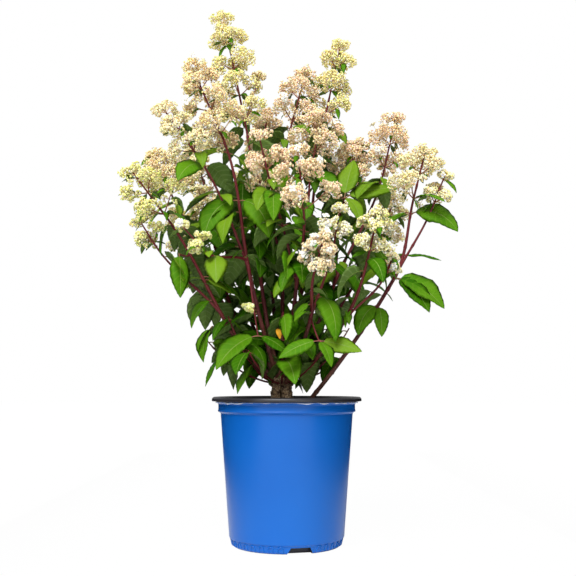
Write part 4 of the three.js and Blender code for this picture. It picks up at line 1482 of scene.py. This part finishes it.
# %% Leaf shape
LEAF_COLUMNS, LEAF_ROWS = np.array([-1, -0.64, -0.32, -0.03, 0.03, 0.32, 0.64, 1]), 15
BRACT_COLUMNS, BRACT_ROWS = np.array([-1, -0.4, 0.4, 1]), 9
LEAF_EASE = 0.62  # under 1, a leaf bends most near its stalk and hangs straighter beyond
LEAF_THICKNESS, TOOTH, QUILT, RIPPLE = 0.0035, 0.035, 0.0042, 0.09
LEAF_BREADTH, LEAF_SWELL, LEAF_TAPER, ROW_SWEEP = 2.85, 0.64, 0.95, 0.78


def leaf_frame(root, pose, share):
    """The spine's point and the ways across and out of the leaf's face, at shares of its length."""
    bearing, length, rising, falling, roll = pose
    outward = np.array([math.cos(bearing), math.sin(bearing), 0])
    sideways = np.array([-math.sin(bearing), math.cos(bearing), 0])
    count = 80
    steps = np.linspace(0, 1, count + 1)
    slopes = rising + (falling - rising) * steps**LEAF_EASE
    mids = (slopes[1:] + slopes[:-1]) / 2
    along, climb = (
        np.interp(share, steps, np.concatenate([[0], np.cumsum(part(mids))]) * length / count)
        for part in (np.cos, np.sin)
    )
    angle = rising + (falling - rising) * share**LEAF_EASE
    spine = root + along[..., None] * outward + climb[..., None] * UP
    upward = -outward * np.sin(angle)[..., None] + UP * np.cos(angle)[..., None]
    across = sideways * math.cos(roll) + upward * math.sin(roll)
    face = upward * math.cos(roll) - sideways * math.sin(roll)
    return spine, across, face


def leaf_points(leaf, columns, rows):
    """The top and bottom grids of one leaf, then its base and tip.

    A leaf widens fast from its stalk and runs out slowly to its point, and its rows sweep forward at the
    edge. The teeth and the quilting are one row out and down, and the next in and up.
    """
    length = leaf["pose"][1]
    t = np.linspace(0.035, 0.965, rows)[:, None] + 0 * columns
    side = np.abs(columns)[None, :]
    forward = t + ROW_SWEEP * side * t * (1 - t) * leaf["sweep"]
    teeth = np.where(np.arange(rows) % 2 == 0, -1.0, 1.0)[:, None]
    width = length * leaf["width"] * LEAF_BREADTH * forward**LEAF_SWELL * (1 - forward) ** LEAF_TAPER
    share = leaf["stalk"] + (1 - leaf["stalk"]) * forward
    spine, across, face = leaf_frame(leaf["root"], leaf["pose"], share)
    reach = columns[None, :] * width * np.where(side == 1, 1 + TOOTH * teeth, 1)
    waves = np.sin(forward * leaf["waves"] + columns * 1.3 + leaf["phase"])
    lift = width * (leaf["fold"] * side - leaf["curl"] * side**2)
    lift = lift + width * RIPPLE * side**2 * waves
    lift = lift - teeth * length * QUILT * np.minimum(1, side * 3) * (side < 1)
    top = spine + across * reach[..., None] + face * lift[..., None]
    bottom = top - face * LEAF_THICKNESS * length
    ends, _, _ = leaf_frame(leaf["root"], leaf["pose"], np.array([leaf["stalk"], 1.0]))
    return np.concatenate([top.reshape(-1, 3), bottom[:, 1:-1].reshape(-1, 3), ends])


def leaf_faces(columns, rows):
    """The faces of one leaf and their material: 0 above, 1 the midrib, 2 beneath."""
    wide = len(columns)
    base = rows * wide + rows * (wide - 2)
    tip, end = base + 1, rows - 1

    def below(r, c):
        return r * wide + c if c in (0, wide - 1) else rows * wide + r * (wide - 2) + c - 1

    faces, kinds = [], []
    for c in range(wide - 1):
        middle = 1 if abs(columns[c] + columns[c + 1]) < 1e-6 and wide > 4 else 0
        for r in range(rows - 1):
            a = r * wide + c
            faces.append((a, a + 1, a + wide + 1, a + wide))
            kinds.append(middle)
            faces.append((below(r, c), below(r + 1, c), below(r + 1, c + 1), below(r, c + 1)))
            kinds.append(2)
        a, b = c, end * wide + c
        faces += [(base, a + 1, a), (b, b + 1, tip)]
        faces += [(base, below(0, c), below(0, c + 1)), (below(end, c + 1), below(end, c), tip)]
        kinds += [middle, middle, 2, 2]
    return faces, kinds


def leaf_mesh(name, group, columns, rows):
    """One mesh of many equal-built leaves."""
    faces, kinds = leaf_faces(columns, rows)
    points = [leaf_points(leaf, columns, rows) for leaf in group]
    step = len(points[0])
    every = [tuple(i + n * step for i in face) for n in range(len(group)) for face in faces]
    mesh = mesh_of(name, np.concatenate(points), every)
    mesh.polygons.foreach_set("material_index", np.tile(kinds, len(group)).astype(np.int32))
    across, row = np.meshgrid((columns + 1) / 2, (np.arange(rows) + 1) / 2)
    grid = np.stack([across, row], -1)
    ends = [(0.5, 0), (0.5, rows / 2 + 0.5)]
    spots = np.concatenate([grid.reshape(-1, 2), grid[:, 1:-1].reshape(-1, 2), ends])
    corners = np.empty(len(mesh.loops), dtype=np.int32)
    mesh.loops.foreach_get("vertex_index", corners)
    layer = mesh.uv_layers.new(name="leaf")
    layer.data.foreach_set("uv", np.tile(spots, (len(group), 1))[corners].ravel().astype(np.float32))
    return mesh


def dressed(leaf, width=0.24, stalk=0.10):
    """Adds what is chance about one leaf's form."""
    return leaf | {
        "width": width * detail.uniform(0.82, 1.12), "stalk": stalk, "sweep": detail.uniform(0.6, 1.1),
        "fold": detail.uniform(0.05, 0.5), "curl": detail.uniform(0.05, 0.5),
        "waves": detail.uniform(7, 13), "phase": detail.uniform(0, 6.28),
    }


# %% Leaf finishes
# deep and fresh are darker and lighter copies of the green: painted shade and painted light, over a real
# spread of tone
LEAF_TINTS = {
    "deep": ((0.025, 0.108, 0.001), (0.042, 0.138, 0.002)),
    "green": ((0.055, 0.178, 0.003), (0.086, 0.218, 0.005)),
    "fresh": ((0.108, 0.222, 0.006), (0.150, 0.270, 0.010)),
    "gold": ((0.62, 0.27, 0.015), (0.70, 0.40, 0.03)),
}
LEAF_GLOSS = {"deep": 0.03, "green": 0.06, "fresh": 0.11, "gold": 0.11}
SMALL_LEAF_SPACING = 22
leaf_finish = {}
for name, (colour, other) in LEAF_TINTS.items():
    vein = tuple(0.75 * c + pale for c, pale in zip(other, (0.032, 0.060, 0.006)))
    leaf_finish[name] = finish_of(
        name + " leaf", colour, other, 0.48,
        drift=(26, 1.0), grain=(420, 1, 1.6, 0.35), veins=(0.13, vein), gloss=LEAF_GLOSS[name])
leaf_beneath = finish_of(
    "leaf beneath", (0.130, 0.215, 0.046), (0.100, 0.180, 0.034), 0.6,
    drift=(30, 1.0), grain=(420, 1, 2.0, 0.5), veins=(0.15, (0.180, 0.270, 0.080)), gloss=0.1)
midrib_pale = finish_of(
    "midrib", (0.190, 0.290, 0.050), (0.140, 0.235, 0.036), 0.5, drift=(30, 1.0), gloss=0.2)
petiole_red = finish_of(
    "leaf stalks", (0.260, 0.055, 0.050), (0.220, 0.130, 0.050), 0.45, drift=(40, 1.0))
print("leaf finishes:", list(leaf_finish))


# %% Smaller leaves between the pairs, and bracts in the panicles
def chance_pose(bearing, lengths, rises, falls, rolls):
    """A leaf's pose drawn within limits: millimetres for the length, degrees for the rest."""
    length = detail.uniform(*lengths)
    return (bearing, length, *[math.radians(detail.uniform(*limits)) for limits in (rises, falls, rolls)])


big = [dressed(leaf) for leaf in leaves]
small = []
for shoot in shoots:
    line = shoot["line"]
    for share in np.arange(0.12, 1.0, SMALL_LEAF_SPACING / line.length):
        for side in (0, math.pi):
            if detail.random() < 0.40:
                continue
            bearing = share * 9 + side + detail.uniform(-0.5, 0.5)
            pose = chance_pose(bearing, (34, 66), (5, 55), (-95, -40), (-45, 45))
            small.append(dressed({"root": line.at(share), "pose": pose}, width=0.22))
for _, line in canes:
    for share in np.arange(0.36, 0.99, SMALL_LEAF_SPACING / line.length):
        for side in (0, math.pi):
            if detail.random() < 0.35:
                continue
            bearing = share * 11 + side + detail.uniform(-0.6, 0.6)
            pose = chance_pose(bearing, (38, 82), (0, 50), (-95, -35), (-60, 60))
            small.append(dressed({"root": line.at(share), "pose": pose}))
bracts = []
for bunch in bunches:
    branch_way = bunch["to"] - bunch["from"]
    for share in (0.02, 0.5):
        if detail.random() < 0.2:
            continue
        bearing = math.atan2(branch_way[1], branch_way[0]) + detail.uniform(-1.1, 1.1)
        pose = chance_pose(bearing, (16, 32), (-20, 55), (-90, -30), (-50, 50))
        bracts.append(dressed({"root": bunch["from"] + branch_way * share, "pose": pose}, width=0.17))
print(len(big), "leaves by the rule,", len(small), "smaller leaves and", len(bracts), "bracts between them")

# %% [markdown]
# ### Room for the crown, the canes and the sky
#
# A grown bush hides more than the real one: leaves hang before the crown and the bare canes, and fill
# gaps at the sides where the photograph shows sky. Each leaf could be looked at and deleted by hand. It
# is simpler to say which places stay open, and to leave out what reaches into them.

# %% Places that stay open
# stretches of sky, in the picture's plane through the pot's axis: left, right, bottom and top
OPEN_SKY = [
    (-238, -184, 432, 482), (-228, -178, 366, 426), (182, 246, 414, 498), (156, 182, 457, 503),
    (172, 200, 346, 390),
]


def in_picture(point):
    """Where the camera sees a point, in millimetres across and up in the plane of the pot's axis."""
    nearer = CAMERA_AWAY / (CAMERA_AWAY + point[1])
    across = CAMERA_ASIDE + (point[0] - CAMERA_ASIDE) * nearer
    return across, CAMERA_HEIGHT + (point[2] - CAMERA_HEIGHT) * nearer


def in_the_sky(point):
    across, up = in_picture(point)
    return any(left < across < right and bottom < up < top for left, right, bottom, top in OPEN_SKY)


# left, right, top and depth of the room before the crown, and of the one that low leaves keep to
CROWN_ROOM, LOW_LEAF_ROOM, LOWEST_TIP = (-38, 20, 262, 10), (-134, 94, 338, 70), 230


def in_the_open(leaf):
    """Whether a leaf stays clear of the lip, the crown, the corners beside the foot and the sky."""
    middle, tip = leaf_frame(leaf["root"], leaf["pose"], np.array([0.6, 1.0]))[0]
    left, right, top, depth = CROWN_ROOM
    before_crown = middle[2] < top and left < middle[0] < right and middle[1] < depth
    left, right, top, depth = LOW_LEAF_ROOM
    beside_the_foot = tip[2] < top and tip[1] < depth and not left < tip[0] < right
    hides_sky = in_the_sky(middle) or in_the_sky(tip)
    return tip[2] > LOWEST_TIP and not (before_crown or beside_the_foot or hides_sky)


CANES_IN_SIGHT = ("front_left", "far_right")
SHOOTS_IN_SIGHT = (("front_left", 0), ("left", 0), ("front_low", 0), ("far_right", 0))
CLOSE_BESIDE, CLOSE_BEHIND = 11, 4  # how near a cane a leaf has to hang to hide it, in mm
in_sight = [line.at(np.linspace(0.15, 1, 40)) for name, line in canes if name in CANES_IN_SIGHT]
in_sight += [
    shoot["line"].at(np.linspace(0, 0.8, 40))
    for shoot in shoots if (shoot["mass"][5:], shoot["rank"]) in SHOOTS_IN_SIGHT
]


def hides_a_cane(leaf):
    """Whether a leaf hangs close before one of the red canes that stay in sight from the front."""
    blade = leaf_frame(leaf["root"], leaf["pose"], np.array([0.5, 0.7, 0.95]))[0]
    for line in in_sight:
        away = blade[:, None, :] - line[None, :, :]
        close = (np.hypot(away[..., 0], away[..., 2]) < CLOSE_BESIDE) & (away[..., 1] < CLOSE_BEHIND)
        if close.any():
            return True
    return False


before = len(big) + len(small)
big = [leaf for leaf in big if in_the_open(leaf) and not hides_a_cane(leaf)]
small = [leaf for leaf in small if in_the_open(leaf) and not hides_a_cane(leaf)]
print(before - len(big) - len(small), "leaves left out before the crown, the lip, the canes and the sky")
big += [dressed(leaf) for leaf in clear_leaves]
print(len(big), "leaves and", len(small), "smaller leaves stay")


# %% Dealing out the tints and making the leaves
# below the first limit a leaf gets the painted-shade green, from the second the painted-light green
SHADED_BELOW, LIT_FROM = 0.42, 0.98


def tint_of(leaf):
    """Fresh green high up and outside, deep green low down and inside, with a random spread: painted light
    outside and painted shade inside the bush, over the leaves' own spread of tone.
    """
    if "tint" in leaf:
        return leaf["tint"]
    x, y, z = leaf["root"]
    shade = (z - 250) / 420 + math.hypot(x, y) / 420 + detail.uniform(-0.55, 0.55)
    return "deep" if shade < SHADED_BELOW else "green" if shade < LIT_FROM else "fresh"


def leaf_piece(name, group, columns, rows, above, nodes):
    """Makes the leaves of one group and hands them over."""
    piece = add_piece(name, leaf_mesh(name, group, columns, rows))
    for finish in (above, midrib_pale, leaf_beneath):
        piece.data.materials.append(finish)
    hand_over(piece, "foliage", *nodes)


leaf_groups = {tint: [] for tint in LEAF_TINTS}
for leaf in big + small:
    leaf_groups[tint_of(leaf)].append(leaf)
for tint, group in leaf_groups.items():
    leaf_piece(tint + "_leaves", group, LEAF_COLUMNS, LEAF_ROWS, leaf_finish[tint], all_masses)
leaf_piece("bracts", bracts, BRACT_COLUMNS, BRACT_ROWS, leaf_finish["green"], mass_nodes)

# %% Leaf stalks, and ribs that stand out beneath
LONGEST_RIBLESS = 30
stalks, ribs = [], []
for leaf in big + small + bracts:
    size = 0.35 + 0.65 * leaf["pose"][1] / LEAF_LENGTH
    line, _, _ = leaf_frame(leaf["root"], leaf["pose"], np.linspace(0, leaf["stalk"] + 0.03, 5))
    stalks.append((line, np.linspace(1.25, 0.85, 5) * size))
    if leaf["pose"][1] > LONGEST_RIBLESS:
        spine, _, face = leaf_frame(leaf["root"], leaf["pose"], np.linspace(leaf["stalk"], 0.8, 9))
        ribs.append((spine - face * 0.5, np.linspace(0.75, 0.25, 9) * size))
hand_over(tubes("leaf_stalks", stalks, 6, petiole_red), "foliage", *all_masses)
hand_over(tubes("leaf_ribs", ribs, 4, midrib_pale), "foliage", *all_masses)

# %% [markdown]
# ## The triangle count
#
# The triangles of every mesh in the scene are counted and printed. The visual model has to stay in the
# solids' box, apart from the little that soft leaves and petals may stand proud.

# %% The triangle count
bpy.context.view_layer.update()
count = sum(len(o.data.loops) - 2 * len(o.data.polygons) for o in bpy.data.objects if o.type == "MESH")
print("triangles:", count)
